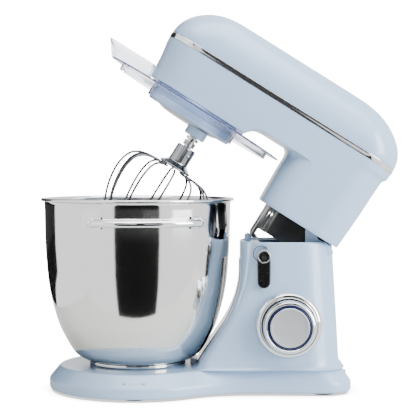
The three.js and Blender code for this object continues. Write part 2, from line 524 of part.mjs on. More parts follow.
// ---------------------------------------------------------------- drive train in the head
add('layshaft', join(
  gear(LAY_TEETH, -0.3, rad(15), 271, 283, 0).translate(LAY_X, 0, 0),
  round(4, 262.6, 346, LAY_X, 0, 16)), STEEL, head);
add('driven_pulley', turned([[4 + GAP, BELT_Z - 5], [34, BELT_Z - 5], [34, BELT_Z - 3.6], [30, BELT_Z - 3.6],
  [30, BELT_Z + 3.6], [34, BELT_Z + 3.6], [34, BELT_Z + 5], [4 + GAP, BELT_Z + 5], [4 + GAP, BELT_Z - 5]],
  20, LAY_X, 0), ALU, head);
add('motor_pulley', turned([[4 + GAP, BELT_Z - 5], [11, BELT_Z - 5], [11, BELT_Z - 3.6], [8, BELT_Z - 3.6],
  [8, BELT_Z + 3.6], [11, BELT_Z + 3.6], [11, BELT_Z + 5], [4 + GAP, BELT_Z + 5], [4 + GAP, BELT_Z - 5]],
  16, MOTOR_X, 0), STEEL, head);
add('drive_belt', (() => {
  const span = MOTOR_X - LAY_X;
  const lean = Math.asin((30 - 8) / span);
  const loop = (grow, n = 9) => {
    const out = [];
    for (let i = 0; i <= n; i++) { // round the motor pulley
      const a = -Math.PI / 2 + lean + ((Math.PI - 2 * lean) * i) / n;
      out.push([MOTOR_X + (8 + grow) * Math.cos(a), (8 + grow) * Math.sin(a)]);
    }
    for (let i = 0; i <= n; i++) {
      const a = Math.PI / 2 - lean + ((Math.PI + 2 * lean) * i) / n;
      out.push([LAY_X + (30 + grow) * Math.cos(a), (30 + grow) * Math.sin(a)]);
    }
    return out;
  };
  return cut(plate(loop(2.7), BELT_Z - 3, BELT_Z + 3), plate(loop(1), BELT_Z - 4, BELT_Z + 4));
})(), RUBBER, head);
add('armature', join(round(4, 253, 346, MOTOR_X, 0), round(20, 267, 301, MOTOR_X, 0, 20),
  round(11, 304, 314, MOTOR_X, 0)), STEEL, head);
add('motor_fan', (() => {
  let g = turned([[4 + GAP, 255], [30, 255], [30, 256.4], [4 + GAP, 256.4], [4 + GAP, 255]], 24);
  for (let k = 0; k < 8; k++)
    g = join(g, box(10, 29, -0.7, 0.7, 256.2, 262).rotateZ(rad(45 * k)));
  return g.translate(MOTOR_X, 0, 0);
})(), BLACK, head);
add('motor_stator', join(
  cut(plate([[-33, -22], [-22, -33], [22, -33], [33, -22], [33, 22], [22, 33], [-22, 33], [-33, 22]],
    268, 300), round(20.8, 260, 305, 0, 0, 20)),
  box(-31, -22, -15, 15, 299.5, 306), box(22, 31, -15, 15, 299.5, 306)).translate(MOTOR_X, 0, 0),
COPPER, head);
// chassis: carries the motor, the layshaft and the planetary housing, and ends in the hinge bracket
add('gearbox_plate', (() => {
  let g = join(
    box(LAY_X - 22, 40, -26, 26, 318, 322), box(36, 40, -40, 40, 268, 322),
    box(36, 112, -40, -36, 246, 322), box(36, 112, 36, 40, 246, 322),
    box(36, 112, -40, 40, 318, 322));
  g = cut(g, round(4 + GAP, 300, 330, LAY_X, 0, 16), round(12, 300, 330, MOTOR_X, 0, 20));
  return g;
})(), ALU, head);
add('hinge_bracket', (() => {
  const side = [[54, 252], [108, 252], [119, 205], [132, 180], [133, 167], [125, 161.5], [114, 157],
    [98, 152.5], [79, 152.5], [76, 158.8], [54, 158.8]];
  let g = join(sidePlate(side, -34.6, -32), sidePlate(side, 32, 34.6), box(54, 57, -32.4, 32.4, 158.8, 252),
    box(56, 100, -32.4, 32.4, 246, 249));
  g = cut(g, roundY(4.5 + GAP, -60, 60, HINGE_X, HINGE_Z, 20));
  return g;
})(), BLACK, head);
const latch = (y0, y1) => cut(
  sidePlate([[37, 252], [51.4, 252], [51.4, 188], [53.4, 158], [50, 147], [42, 144], [38.5, 150],
    [38.5, 186], [37, 200]], y0, y1),
  sidePlate([[43, 149.4], [60, 149.4], [60, 158.6], [43, 158.6]], y0 - 1, y1 + 1));
add('latch_plate_near', latch(-31.2, -28.8), STEEL, head);
add('latch_plate_far', latch(28.8, 31.2), STEEL, head);

// ---------------------------------------------------------------- splash guard with pouring chute
add('splash_guard', (() => {
  const disc = turned([[FLANGE_R + 1.1, 229], [FLANGE_R + 3, 229], [FLANGE_R + 3, GUARD_Z], [105.6, GUARD_Z],
    [105.6, 235.4], [107.4, 235.4], [107.4, GUARD_Z], [GUARD_R - 1, GUARD_Z], [GUARD_R, GUARD_Z + 0.9],
    [GUARD_R - 1, GUARD_Z + 1.8], [FLANGE_R + 1.1, GUARD_Z + 1.8], [FLANGE_R + 1.1, 229]], 32, BOWL_X, 0);
  // chute: a tray that leans outward at the front, open at its inner end over the bowl
  const tray = (d, z0, z1) => loft([
    [[-173.4 - d, -33 + d, z0], [-173.4 - d, 33 - d, z0], [-226 + d, 29 - d, z0], [-226 + d, -29 + d, z0]],
    [[-173.4 - d, -37 + d, z1], [-173.4 - d, 37 - d, z1], [-238 + d, 33 - d, z1], [-238 + d, -33 + d, z1]],
  ]);
  const chute = cut(tray(0, GUARD_Z + 0.2, 263), tray(1.8, GUARD_Z + 1.8, 263.2));
  const mouth = box(-208, -176, -28, 28, 230, 250);
  return cut(join(disc, chute), mouth);
})(), CLEAR, head);

export default mixer;
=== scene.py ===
import math
import bmesh
import bpy
from mathutils import Matrix, Vector


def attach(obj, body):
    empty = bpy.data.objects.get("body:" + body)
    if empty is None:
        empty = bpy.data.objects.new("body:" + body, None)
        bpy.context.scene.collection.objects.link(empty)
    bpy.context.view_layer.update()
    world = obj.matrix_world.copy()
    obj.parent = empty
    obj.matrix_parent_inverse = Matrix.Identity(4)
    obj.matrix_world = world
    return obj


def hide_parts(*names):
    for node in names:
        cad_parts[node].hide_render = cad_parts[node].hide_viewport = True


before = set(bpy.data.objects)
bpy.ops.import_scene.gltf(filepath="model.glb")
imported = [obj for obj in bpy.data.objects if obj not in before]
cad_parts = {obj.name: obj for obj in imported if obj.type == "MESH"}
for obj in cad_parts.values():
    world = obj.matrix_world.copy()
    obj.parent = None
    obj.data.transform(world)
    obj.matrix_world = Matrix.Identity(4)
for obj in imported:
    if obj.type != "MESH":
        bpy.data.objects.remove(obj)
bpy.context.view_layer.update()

# ---------------------------------------------------------------------------
# Camera, floor and light. A white sweep, soft lamps from above and both sides,
# and dark cards that only polished metal reflects, as a studio sets them up.
CAMERA_BACK = 1.655
CAMERA_HIGH = 0.288
CAMERA_AIM = (-0.014, 0.0, 0.2283)
LENS = 113.0

scene = bpy.context.scene
camera = bpy.data.objects.new("camera", bpy.data.cameras.new("camera"))
scene.collection.objects.link(camera)
camera.data.lens = LENS
camera.data.clip_end = 50.0
camera.location = (CAMERA_AIM[0], -CAMERA_BACK, CAMERA_HIGH)
look = Vector(CAMERA_AIM) - Vector(camera.location)
camera.rotation_euler = look.to_track_quat("-Z", "Y").to_euler()
scene.camera = camera


def rgb(code, alpha=1.0):
    """An sRGB hex colour as linear numbers."""
    part = [int(code[i:i + 2], 16) / 255 for i in (1, 3, 5)]
    return tuple(c / 12.92 if c <= 0.04045 else ((c + 0.055) / 1.055) ** 2.4 for c in part) + (alpha,)


def add(tree, kind, inputs=None, **settings):
    """Adds a node; inputs are values, or the outputs that feed them."""
    node = tree.nodes.new(kind)
    for key, value in settings.items():
        setattr(node, key, value)
    for key, value in (inputs or {}).items():
        if isinstance(value, bpy.types.NodeSocket):
            tree.links.new(value, node.inputs[key])
        else:
            node.inputs[key].default_value = value
    return node


def lamp(name, place, aim, size, power, colour="#FFFFFF"):
    light = bpy.data.lights.new(name, "AREA")
    light.shape = "RECTANGLE"
    light.size, light.size_y = size
    light.energy = power
    light.color = rgb(colour)[:3]
    obj = bpy.data.objects.new(name, light)
    scene.collection.objects.link(obj)
    obj.location = place
    obj.rotation_euler = (Vector(aim) - Vector(place)).to_track_quat("-Z", "Y").to_euler()
    return obj


lamp("overhead", (0.25, -0.5, 2.2), (0, 0, 0.2), (2.4, 2.0), 92)
lamp("side_right", (2.3, -1.5, 1.0), (0, 0, 0.25), (1.4, 2.0), 150)
lamp("side_left", (-2.3, -1.5, 1.0), (0, 0, 0.2), (1.2, 2.0), 5)

world = bpy.data.worlds.new("studio")
scene.world = world
world.use_nodes = True
air = world.node_tree
# the backdrop is burnt out to white where it is seen, brighter in polished metal than on plain walls
path = add(air, "ShaderNodeLightPath")
first = add(air, "ShaderNodeMath", {0: path.outputs["Diffuse Depth"], 1: 0.5}, operation="LESS_THAN")
mirror = add(air, "ShaderNodeMath", {0: path.outputs["Is Glossy Ray"], 1: first.outputs[0]},
             operation="MULTIPLY")
shine = add(air, "ShaderNodeMapRange", {"Value": mirror.outputs[0], "To Min": 0.36, "To Max": 1.9})
through = add(air, "ShaderNodeMath", {0: path.outputs["Is Transmission Ray"], 1: 4.5}, operation="MULTIPLY")
camera_part = add(air, "ShaderNodeMath", {0: path.outputs["Is Camera Ray"], 1: 18.0}, operation="MULTIPLY")
level = add(air, "ShaderNodeMath", {0: shine.outputs["Result"], 1: through.outputs[0]}, operation="MAXIMUM")
level = add(air, "ShaderNodeMath", {0: level.outputs[0], 1: camera_part.outputs[0]}, operation="MAXIMUM")
air.nodes["Background"].inputs["Color"].default_value = rgb("#FFFFFF")
air.links.new(level.outputs[0], air.nodes["Background"].inputs["Strength"])


def slab(name, corners):
    mesh = bpy.data.meshes.new(name)
    mesh.from_pydata(corners, [], [tuple(range(len(corners)))])
    obj = bpy.data.objects.new(name, mesh)
    scene.collection.objects.link(obj)
    return obj


def plain(name, code, roughness):
    """A flat finish for the studio's floor and cards."""
    mat = bpy.data.materials.new(name)
    mat.use_nodes = True
    shader = mat.node_tree.nodes["Principled BSDF"]
    shader.inputs["Base Color"].default_value = rgb(code)
    shader.inputs["Roughness"].default_value = roughness
    shader.inputs["Specular IOR Level"].default_value = 0.0
    return mat


floor = slab("floor", [(-9, -9, 0), (9, -9, 0), (9, 9, 0), (-9, 9, 0)])
sweep = plain("white_sweep", "#F4F4F4", 0.9)
floor.data.materials.append(sweep)
tree = sweep.node_tree
path = add(tree, "ShaderNodeLightPath")
# for camera rays the floor glows white, and ambient occlusion dims that glow close under the stand: a painted
# contact shadow
near = add(tree, "ShaderNodeAmbientOcclusion", {"Distance": 0.045}, samples=8)
glow = add(tree, "ShaderNodeMapRange", {"Value": near.outputs["AO"], "From Min": 0.25, "From Max": 0.9,
                                        "To Min": 1.2, "To Max": 18.0})
white = add(tree, "ShaderNodeEmission", {"Strength": glow.outputs["Result"]})
lit = tree.nodes["Principled BSDF"].outputs[0]
both = add(tree, "ShaderNodeMixShader", {0: path.outputs["Is Camera Ray"], 1: lit, 2: white.outputs[0]})
tree.links.new(both.outputs[0], tree.nodes["Material Output"].inputs["Surface"])


def card(name, x0, x1, y, z0, z1, code):
    """An upright card across the front or back, seen only in reflections."""
    obj = slab(name, [(x0, y, z0), (x1, y, z0), (x1, y, z1), (x0, y, z1)])
    obj.data.materials.append(plain(name, code, 0.9))
    obj.visible_camera = False
    obj.visible_shadow = False
    obj.visible_diffuse = False
    return obj


card("card_front", -1.08, 1.05, -2.1, -2.4, 2.6, "#3C3C3C")
card("card_strip_rear", 0.245, 1.0, -2.05, 0.12, 0.45, "#D8D8D8")
card("card_strip_front", -1.08, -0.05, -2.05, 0.43, 1.3, "#E8E8E8")
card("card_back", -3.2, -0.6, 1.6, -0.4, 2.6, "#3A3A3A")
# polished metal sees the table's edge close in front, and the dark room beyond
floor.visible_glossy = False
table = slab("table_top", [(x, y, 0.0004) for x, y in ((-0.47, -0.235), (0.75, -0.235), (0.75, 1.2), (-0.47, 1.2))])
table.data.materials.append(plain("table_white", "#E9EBE4", 0.9))
table.visible_camera = table.visible_diffuse = table.visible_shadow = table.visible_transmission = False

# ---------------------------------------------------------------------------
# Stand: base and column, one glossy light-blue ABS moulding. The round front
# carries the bowl, and the column rises from it with a soft fillet.
HINGE = (125.0, 172.2)  # X and Z of the hinge, in mm
BOWL_X = -103.0
MM = 0.001
TAU = 2 * math.pi
TILTED = (Matrix.Translation((HINGE[0] * MM, 0, HINGE[1] * MM)) @ Matrix.Rotation(math.radians(32), 4, "Y")
          @ Matrix.Translation((-HINGE[0] * MM, 0, -HINGE[1] * MM)))


def shell_plastic(name, code, roughness=0.3):
    """ABS, injection moulded with a polished tool and clear lacquer: an even colour under a soft
    gloss, with the faint ripple that a moulded wall shows in a reflection."""
    mat = bpy.data.materials.new(name)
    mat.use_nodes = True
    t = mat.node_tree
    place = add(t, "ShaderNodeTexCoord")
    ripple = add(t, "ShaderNodeTexNoise", {"Vector": place.outputs["Object"], "Scale": 55.0, "Detail": 2.0})
    grain = add(t, "ShaderNodeTexNoise", {"Vector": place.outputs["Object"], "Scale": 1400.0, "Detail": 1.0})
    base = rgb(code)
    tone = add(t, "ShaderNodeMixRGB", {"Fac": ripple.outputs["Fac"],
                                       "Color1": tuple(c * 0.985 for c in base[:3]) + (1,),
                                       "Color2": tuple(min(1, c * 1.015) for c in base[:3]) + (1,)})
    gloss = add(t, "ShaderNodeMapRange", {"Value": grain.outputs["Fac"], "To Min": roughness - 0.03,
                                          "To Max": roughness + 0.04})
    wave = add(t, "ShaderNodeBump", {"Height": ripple.outputs["Fac"], "Strength": 0.035, "Distance": 0.0012})
    bump = add(t, "ShaderNodeBump", {"Height": grain.outputs["Fac"], "Normal": wave.outputs["Normal"],
                                     "Strength": 0.03, "Distance": 0.0002})
    s = t.nodes["Principled BSDF"]
    t.links.new(tone.outputs["Color"], s.inputs["Base Color"])
    t.links.new(gloss.outputs["Result"], s.inputs["Roughness"])
    t.links.new(bump.outputs["Normal"], s.inputs["Normal"])
    s.inputs["IOR"].default_value = 1.53
    s.inputs["Coat Weight"].default_value = 0.35
    s.inputs["Coat Roughness"].default_value = 0.12
    return mat


blue_abs = shell_plastic("light_blue_abs", "#9FBBDA")


def solid(name, verts, faces, tilted=False, smooth=True):
    """A mesh object from points in mm; a tilted one is drawn with the head closed."""
    mesh = bpy.data.meshes.new(name)
    mesh.from_pydata([Vector(v) * MM for v in verts], [], faces)
    if tilted:
        mesh.transform(TILTED)
    mesh.validate()
    bm = bmesh.new()
    bm.from_mesh(mesh)
    bmesh.ops.recalc_face_normals(bm, faces=bm.faces)
    bm.to_mesh(mesh)
    bm.free()
    mesh.polygons.foreach_set("use_smooth", [smooth] * len(mesh.polygons))
    obj = bpy.data.objects.new(name, mesh)
    scene.collection.objects.link(obj)
    return obj


def skin(name, rings, start_cap=True, end_cap=True, tilted=False, levels=1, around=True):
    """A surface through rings of equally many points."""
    n = len(rings[0])
    verts = [p for ring in rings for p in ring]
    faces = []
    for k in range(len(rings) - 1):
        for i in range(n if around else n - 1):
            j = (i + 1) % n
            faces.append((k * n + i, k * n + j, (k + 1) * n + j, (k + 1) * n + i))
    if start_cap:
        faces.append(tuple(range(n)))
    if end_cap:
        faces.append(tuple((len(rings) - 1) * n + i for i in range(n)))
    obj = solid(name, verts, faces, tilted)
    if levels:
        sub = obj.modifiers.new("smooth", "SUBSURF")
        sub.levels = sub.render_levels = levels
    return obj


def bake(obj):
    """Applies the modifiers."""
    mesh = bpy.data.meshes.new_from_object(obj.evaluated_get(bpy.context.evaluated_depsgraph_get()))
    obj.modifiers.clear()
    obj.data = mesh
    return obj


def bore(obj, *tools):
    """Cuts the tools out of the piece."""
    for tool in tools:
        cut = obj.modifiers.new("cut", "BOOLEAN")
        cut.object, cut.solver = tool, "EXACT"
        bpy.context.view_layer.update()
        bake(obj)
        bpy.data.objects.remove(tool)
    return obj


def finish_piece(obj, material, body, *nodes, slot=None, sharp=None):
    """Gives the piece its material and body, and hides the CAD nodes it stands for."""
    if material is not None:
        obj.data.materials.clear()
        obj.data.materials.append(material)
    if sharp is not None:
        obj.data.set_sharp_from_angle(angle=math.radians(sharp))
    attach(obj, body)
    if nodes:
        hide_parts(*nodes)
    return obj


def bezier(p0, p1, p2, p3, n):
    return [tuple((1 - t) ** 3 * a + 3 * (1 - t) ** 2 * t * b + 3 * (1 - t) * t * t * c + t ** 3 * d
                  for a, b, c, d in zip(p0, p1, p2, p3)) for t in (i / n for i in range(n))]


def arc(cx, cy, r, a0, a1, n):
    return [(cx + r * math.cos(math.radians(a0 + (a1 - a0) * i / n)),
             cy + r * math.sin(math.radians(a0 + (a1 - a0) * i / n))) for i in range(n)]


def base_plan(r, waist, w, x1, corner=34.0):
    """Plan of the base, as a closed line: round front, narrower waist, rounded rear."""
    a = math.radians(52)
    px, py = BOWL_X + r * math.cos(a), r * math.sin(a)
    half = [(x1, 0.0)] + arc(x1 - corner, w - corner, corner, 0, 90, 16)
    half += bezier((x1 - corner, w), (x1 - corner - 20, w), (70, waist), (36, waist), 16)
    half += bezier((36, waist), (10, waist), (px + 20.9, py - 16.3), (px, py), 16)
    half += arc(BOWL_X, 0, r, 52, 180, 48) + [(BOWL_X - r, 0.0)]
    return half + [(x, -y) for x, y in reversed(half[1:-1])]


def box_plan(x0, x1, w, front, rear):
    """Plan of a rounded rectangle, as a closed line."""
    half = [(x1, 0.0)] + arc(x1 - rear, w - rear, rear, 0, 90, 14)
    half += arc(x0 + front, w - front, front, 90, 180, 14) + [(x0, 0.0)]
    return half + [(x, -y) for x, y in reversed(half[1:-1])]


def along(line, angles, centre):
    """Where rays from the centre cross a closed line round it."""
    out = []
    for a in angles:
        d = (math.cos(a), math.sin(a))
        best = None
        for i in range(len(line)):
            (ax, ay), (bx, by) = line[i], line[(i + 1) % len(line)]
            ux, uy = bx - ax, by - ay
            den = d[0] * uy - d[1] * ux
            if abs(den) < 1e-12:
                continue
            qx, qy = ax - centre[0], ay - centre[1]
            t = (qx * uy - qy * ux) / den
            s = (qx * d[1] - qy * d[0]) / den
            if t > 0 and -1e-9 <= s <= 1 + 1e-9 and (best is None or t > best):
                best = t
        out.append((centre[0] + best * d[0], centre[1] + best * d[1]))
    return out


def even_angles(line, centre, count):
    """Angles of points spaced evenly along a closed line."""
    total, steps = 0.0, [0.0]
    for i in range(len(line)):
        total += math.dist(line[i], line[(i + 1) % len(line)])
        steps.append(total)
    out = []
    for k in range(count):
        want, i = total * k / count, 0
        while steps[i + 1] < want:
            i += 1
        f = (want - steps[i]) / max(steps[i + 1] - steps[i], 1e-9)
        (ax, ay), (bx, by) = line[i], line[(i + 1) % len(line)]
        out.append(math.atan2(ay + (by - ay) * f - centre[1], ax + (bx - ax) * f - centre[0]))
    return out


def column_front(z):
    """X of the column's front face, which curves away behind the bowl."""
    if z >= 145:
        return 26.2
    if z >= 87.6:
        t = (145 - z) / 57.4
        return 26.2 - 13.39 * t * t - 5.21 * t
    return 7.6 - (87.6 - z) * 0.68


def column_half(z):
    return 55.3 + max(0.0, 178 - z) / 150 * 8.6


def column_rear(z):
    return 142.4 + (181 - min(z, 181)) / 148 * 8


STAND_EYE = (40.0, 0.0)
BASE_SIZE = (112, 65.5, 69, 164)
BASE_EDGE = base_plan(*BASE_SIZE)
stand_angles = even_angles(BASE_EDGE, STAND_EYE, 160)


def stand_ring(line, z):
    return [(x, y, z) for x, y in along(line, stand_angles, STAND_EYE)]


def column_ring(z, out=0.0, dz=0.0):
    soft = min(43.0, max(15.0, 15 + (z - 110) * 0.36))
    return stand_ring(box_plan(column_front(z) - out, column_rear(z) + out, column_half(z) + out,
                               min(soft + out, 43), 43), z + dz)


TOP_Z = 31.4
# front radius, waist, rear half-width and rear end of each ring of the base, and its height
BASE_RINGS = ((108.8, 62, 65.5, 160, 7), (109.2, 62.4, 66, 161, 3.6), (110.4, 64, 67.5, 162.5, 3.2),
              (111.6, 65.2, 68.6, 163.6, 4.2), (*BASE_SIZE, 6.4), (*BASE_SIZE, 13.6),
              (111.7, 65.3, 68.9, 163.6, 15.4), (110.6, 64.5, 68.3, 162.6, 17),
              (106.0, 61.6, 66.4, 158.5, 22.4), (100.4, 58, 64, 153.6, 29), (99.0, 57.0, 63.4, 152.4, 30.6),
              (97.6, 56.2, 63.0, 151.8, TOP_Z - 0.1), (95.8, 55.5, 62.8, 151.4, TOP_Z))
rings = [stand_ring(base_plan(*plan), z) for *plan, z in BASE_RINGS]
# across the flat top to the foot of the column
edge, foot = rings[-1], column_ring(38, 7.0, TOP_Z - 38)
for t in (0.35, 0.7):
    rings.append([tuple(a + (b - a) * t for a, b in zip(p, q)) for p, q in zip(edge, foot)])
rings += [foot, column_ring(38, 3.4, -5.9), column_ring(38, 1.0, -3.6), column_ring(41), column_ring(52)]
rings += [column_ring(z) for z in (66, 80, 92, 104, 116, 128, 140, 152, 164, 175, 181)]
lip = lambda x0, x1, w, r, z: stand_ring(box_plan(x0, x1, w, r, r), z)
rings += [lip(26.2, 141.2, 55.3, 43, 185), lip(26.5, 139.4, 55.0, 42.6, 187.2), lip(27.2, 138.4, 54.3, 42, 188),
          lip(28.6, 137.6, 53, 41, 188), lip(29.4, 137, 52.4, 40.4, 187.4), lip(29.6, 136.8, 52.2, 40.2, 184.5)]
stand = skin("stand_shell", rings, start_cap=False, end_cap=False, levels=1)
bake(stand)


def block(name, x0, x1, y0, y1, z0, z1, tilted=False, bevel=0.0):
    """A box in mm, with rounded edges if asked."""
    verts = [(x, y, z) for x in (x0, x1) for y in (y0, y1) for z in (z0, z1)]
    faces = [(0, 1, 3, 2), (4, 6, 7, 5), (0, 4, 5, 1), (2, 3, 7, 6), (0, 2, 6, 4), (1, 5, 7, 3)]
    obj = solid(name, verts, faces, tilted, smooth=False)
    if bevel:
        soft = obj.modifiers.new("soft", "BEVEL")
        soft.width, soft.segments, soft.limit_method = bevel * MM, 3, "ANGLE"
    return obj


finish_piece(stand, blue_abs, "stand", "base_housing", slot="shell", sharp=50)

# Deck of the column: the same moulding, with a well for the head's hinge
# bracket and a slot for each latch plate.
deck = skin("column_deck", [lip(29.5, 136.9, 52.3, 40.3, 183.4), lip(29.5, 136.9, 52.3, 40.3, 186.4)], levels=0)
bore(deck, block("well", 50, 137.4, -36.4, 36.4, 150, 220), block("slot_a", 31.5, 60, 24, 36, 150, 220),
     block("slot_b", 31.5, 60, -36, -24, 150, 220))
finish_piece(deck, blue_abs, "stand", slot="shell", sharp=40)

# ---------------------------------------------------------------------------
# Underside and feet: a pressed steel plate closes the base, and soft rubber
# suction feet hold it to the worktop.


def rounded(line, radius, closed=True, n=4):
    """The line with its corners turned into arcs."""
    out, count = [], len(line)
    for i in range(count):
        if not closed and i in (0, count - 1):
            out.append(line[i])
            continue
        b = Vector(line[i])
        a, c = Vector(line[i - 1]) - b, Vector(line[(i + 1) % count]) - b
        cut = min(radius, a.length * 0.45, c.length * 0.45)
        if cut < 1e-4 or b.x < 1e-6:
            out.append(line[i])
            continue
        p, q = b + a.normalized() * cut, b + c.normalized() * cut
        for k in range(n + 1):
            t = k / n
            w = p * (1 - t) ** 2 + b * 2 * t * (1 - t) + q * t * t
            out.append((w.x, w.y))
    return out


def lathe(name, line, x, y, z=0.0, steps=96, up="Z", tilted=False, closed=True):
    """A turned piece; line holds (radius, height) and up says where height points."""
    verts, faces, rows = [], [], []
    for r, h in line:
        row = []
        for i in range(steps if r > 1e-6 else 1):
            a = TAU * i / steps
            u, v = r * math.cos(a), r * math.sin(a)
            row.append(len(verts))
            verts.append((x + u, y + v, z + h) if up == "Z" else (x + u, y - h, z + v))
        rows.append(row)
    for k in range(len(rows) if closed else len(rows) - 1):
        p, q = rows[k], rows[(k + 1) % len(rows)]
        if len(p) == 1 and len(q) == 1:
            continue
        for i in range(steps):
            j = (i + 1) % steps
            face = [p[i % len(p)], p[j % len(p)], q[j % len(q)], q[i % len(q)]]
            faces.append(tuple(dict.fromkeys(face)))
    return solid(name, verts, faces, tilted)


def rubber(name, code):
    """Moulded rubber: dark, matt, with a fine dusty grain."""
    mat = bpy.data.materials.new(name)
    mat.use_nodes = True
    t = mat.node_tree
    place = add(t, "ShaderNodeTexCoord")
    grain = add(t, "ShaderNodeTexNoise", {"Vector": place.outputs["Object"], "Scale": 900.0, "Detail": 3.0})
    base = rgb(code)
    tone = add(t, "ShaderNodeMixRGB", {"Fac": grain.outputs["Fac"], "Color1": base,
                                       "Color2": tuple(c * 1.5 for c in base[:3]) + (1,)})
    bump = add(t, "ShaderNodeBump", {"Height": grain.outputs["Fac"], "Strength": 0.25, "Distance": 0.0003})
    s = t.nodes["Principled BSDF"]
    t.links.new(tone.outputs["Color"], s.inputs["Base Color"])
    t.links.new(bump.outputs["Normal"], s.inputs["Normal"])
    s.inputs["Roughness"].default_value = 0.75
    return mat


def metal(name, code, roughness, grain_scale=(1.0, 1.0, 1.0), scale=600.0, depth=0.06, spread=0.08,
          turned=None):
    """Bare or plated metal. The grain is a noise drawn out along the way the surface was worked;
    turned gives the centre and axis of pieces polished on a lathe, whose lines run round."""
    mat = bpy.data.materials.new(name)
    mat.use_nodes = True
    t = mat.node_tree
    place = add(t, "ShaderNodeTexCoord").outputs["Object"]
    if turned:
        centre, axis = turned
        away = add(t, "ShaderNodeVectorMath", {0: place, 1: centre}, operation="SUBTRACT").outputs[0]
        height = add(t, "ShaderNodeVectorMath", {0: away, 1: axis}, operation="DOT_PRODUCT").outputs["Value"]
        flat = add(t, "ShaderNodeVectorMath", {0: away, 1: axis}, operation="CROSS_PRODUCT").outputs[0]
        radius = add(t, "ShaderNodeVectorMath", {0: flat}, operation="LENGTH").outputs["Value"]
        place = add(t, "ShaderNodeCombineXYZ", {"X": radius, "Y": height, "Z": 0.0}).outputs[0]
    lines = add(t, "ShaderNodeMapping", {"Vector": place, "Scale": grain_scale})
    noise = add(t, "ShaderNodeTexNoise", {"Vector": lines.outputs[0], "Scale": scale, "Detail": 3.0})
    base = rgb(code)
    tone = add(t, "ShaderNodeMixRGB", {"Fac": noise.outputs["Fac"],
                                       "Color1": tuple(c * (1 - spread) for c in base[:3]) + (1,),
                                       "Color2": tuple(min(1, c * (1 + spread)) for c in base[:3]) + (1,)})
    rough = add(t, "ShaderNodeMapRange", {"Value": noise.outputs["Fac"], "To Min": roughness * 0.75,
                                          "To Max": roughness * 1.3})
    bump = add(t, "ShaderNodeBump", {"Height": noise.outputs["Fac"], "Strength": depth, "Distance": 0.0002})
    s = t.nodes["Principled BSDF"]
    t.links.new(tone.outputs["Color"], s.inputs["Base Color"])
    t.links.new(rough.outputs["Result"], s.inputs["Roughness"])
    t.links.new(bump.outputs["Normal"], s.inputs["Normal"])
    s.inputs["Metallic"].default_value = 1.0
    return mat


def on_cad(material, *nodes):
    """Gives carried-over CAD nodes a finish."""
    for node in nodes:
        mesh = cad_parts[node].data
        mesh.materials.clear()
        mesh.materials.append(material)


foot_rubber = rubber("black_rubber", "#2A2B2D")
zinc_steel = metal("zinc_plated_steel", "#9A9CA0", 0.38, scale=240.0, spread=0.12)
on_cad(zinc_steel, "base_plate")
for number, (fx, fy) in enumerate(((-103, -86), (-103, 86), (-190, 0), (128, -45), (128, 45)), 1):
    cup = rounded([(0, 1.4), (6.5, 1.2), (9.5, 0.5), (12.2, 0.0), (14.0, 0.35), (13.2, 1.8), (13.4, 3.2),
                   (0, 3.2)], 0.5)
    finish_piece(lathe(f"foot_cup_{number}", cup, fx, fy, steps=48), foot_rubber, "stand", f"foot_{number}",
                 slot="rubber")

# ---------------------------------------------------------------------------
# Bowl seat: a pressed steel ring with three hooks in the base, and the marks
# that show which way the bowl locks, printed in grey on the sloping edge.
seat_steel = metal("pressed_steel", "#A4A6A9", 0.32, scale=300.0)
on_cad(seat_steel, "bowl_seat")
print_grey = shell_plastic("grey_print", "#7E8C9C", 0.5)


def shape_marks():
    """Padlock shut, arrow, padlock open: flat pieces as (u, v) lines in mm."""
    def bar(x0, y0, x1, y1):
        return [(x0, y0), (x1, y0), (x1, y1), (x0, y1)]

    def bow(cx, cy, r, w, a0, a1, n=10):
        return arc(cx, cy, r, a0, a1, n) + arc(cx, cy, r - w, a1, a0, n)
    marks = [bar(-13.6, -2.1, -9.6, 0.6), bow(-11.6, 0.6, 1.5, 0.5, 0, 180), bar(9.6, -2.1, 13.6, 0.6),
             bow(14.6, 0.6, 1.5, 0.5, 0, 180), bar(-5.6, -0.35, 5.6, 0.05),
             [(-7.4, -0.15), (-5.2, -1.1), (-5.2, 0.8)], [(7.4, -0.15), (5.2, 0.8), (5.2, -1.1)]]
    for cx in (-11.6, 11.6):
        marks.append(bar(cx - 0.35, -3.0, cx + 0.35, -2.4))
    return marks


mark_verts, mark_faces = [], []
for line in shape_marks():
    start = len(mark_verts)
    for u, v in line:
        z = 22.2 + v * 0.77
        r = 112.0 - (z - 15) * 0.829 + 0.16
        a = -math.pi / 2 + u / r
        mark_verts.append((BOWL_X + r * math.cos(a), r * math.sin(a), z))
    mark_faces.append(tuple(range(start, len(mark_verts))))
lock_marks = solid("lock_marks", mark_verts, mark_faces, smooth=False)
bm = bmesh.new()
bm.from_mesh(lock_marks.data)
bmesh.ops.triangulate(bm, faces=bm.faces)
bmesh.ops.recalc_face_normals(bm, faces=bm.faces)
for face in bm.faces:
    if face.normal.y > 0:
        face.normal_flip()
bm.to_mesh(lock_marks.data)
bm.free()
finish_piece(lock_marks, print_grey, "stand", slot="shell")

# ---------------------------------------------------------------------------
# Column trim: a bright plated strip let into the front of the column, with a
# pale clip at its foot.
chrome = metal("chrome_plate", "#DCDDDF", 0.06, scale=90.0, depth=0.01, spread=0.01)


def trim_ring(z):
    x, w = column_front(z), 21.0
    return [(x - 1.1, -w + 1.2, z), (x - 1.3, -w * 0.5, z), (x - 1.35, 0, z), (x - 1.3, w * 0.5, z),
            (x - 1.1, w - 1.2, z), (x - 0.5, w, z), (x + 1.6, w, z), (x + 1.6, 0, z), (x + 1.6, -w, z),
            (x - 0.5, -w, z)]


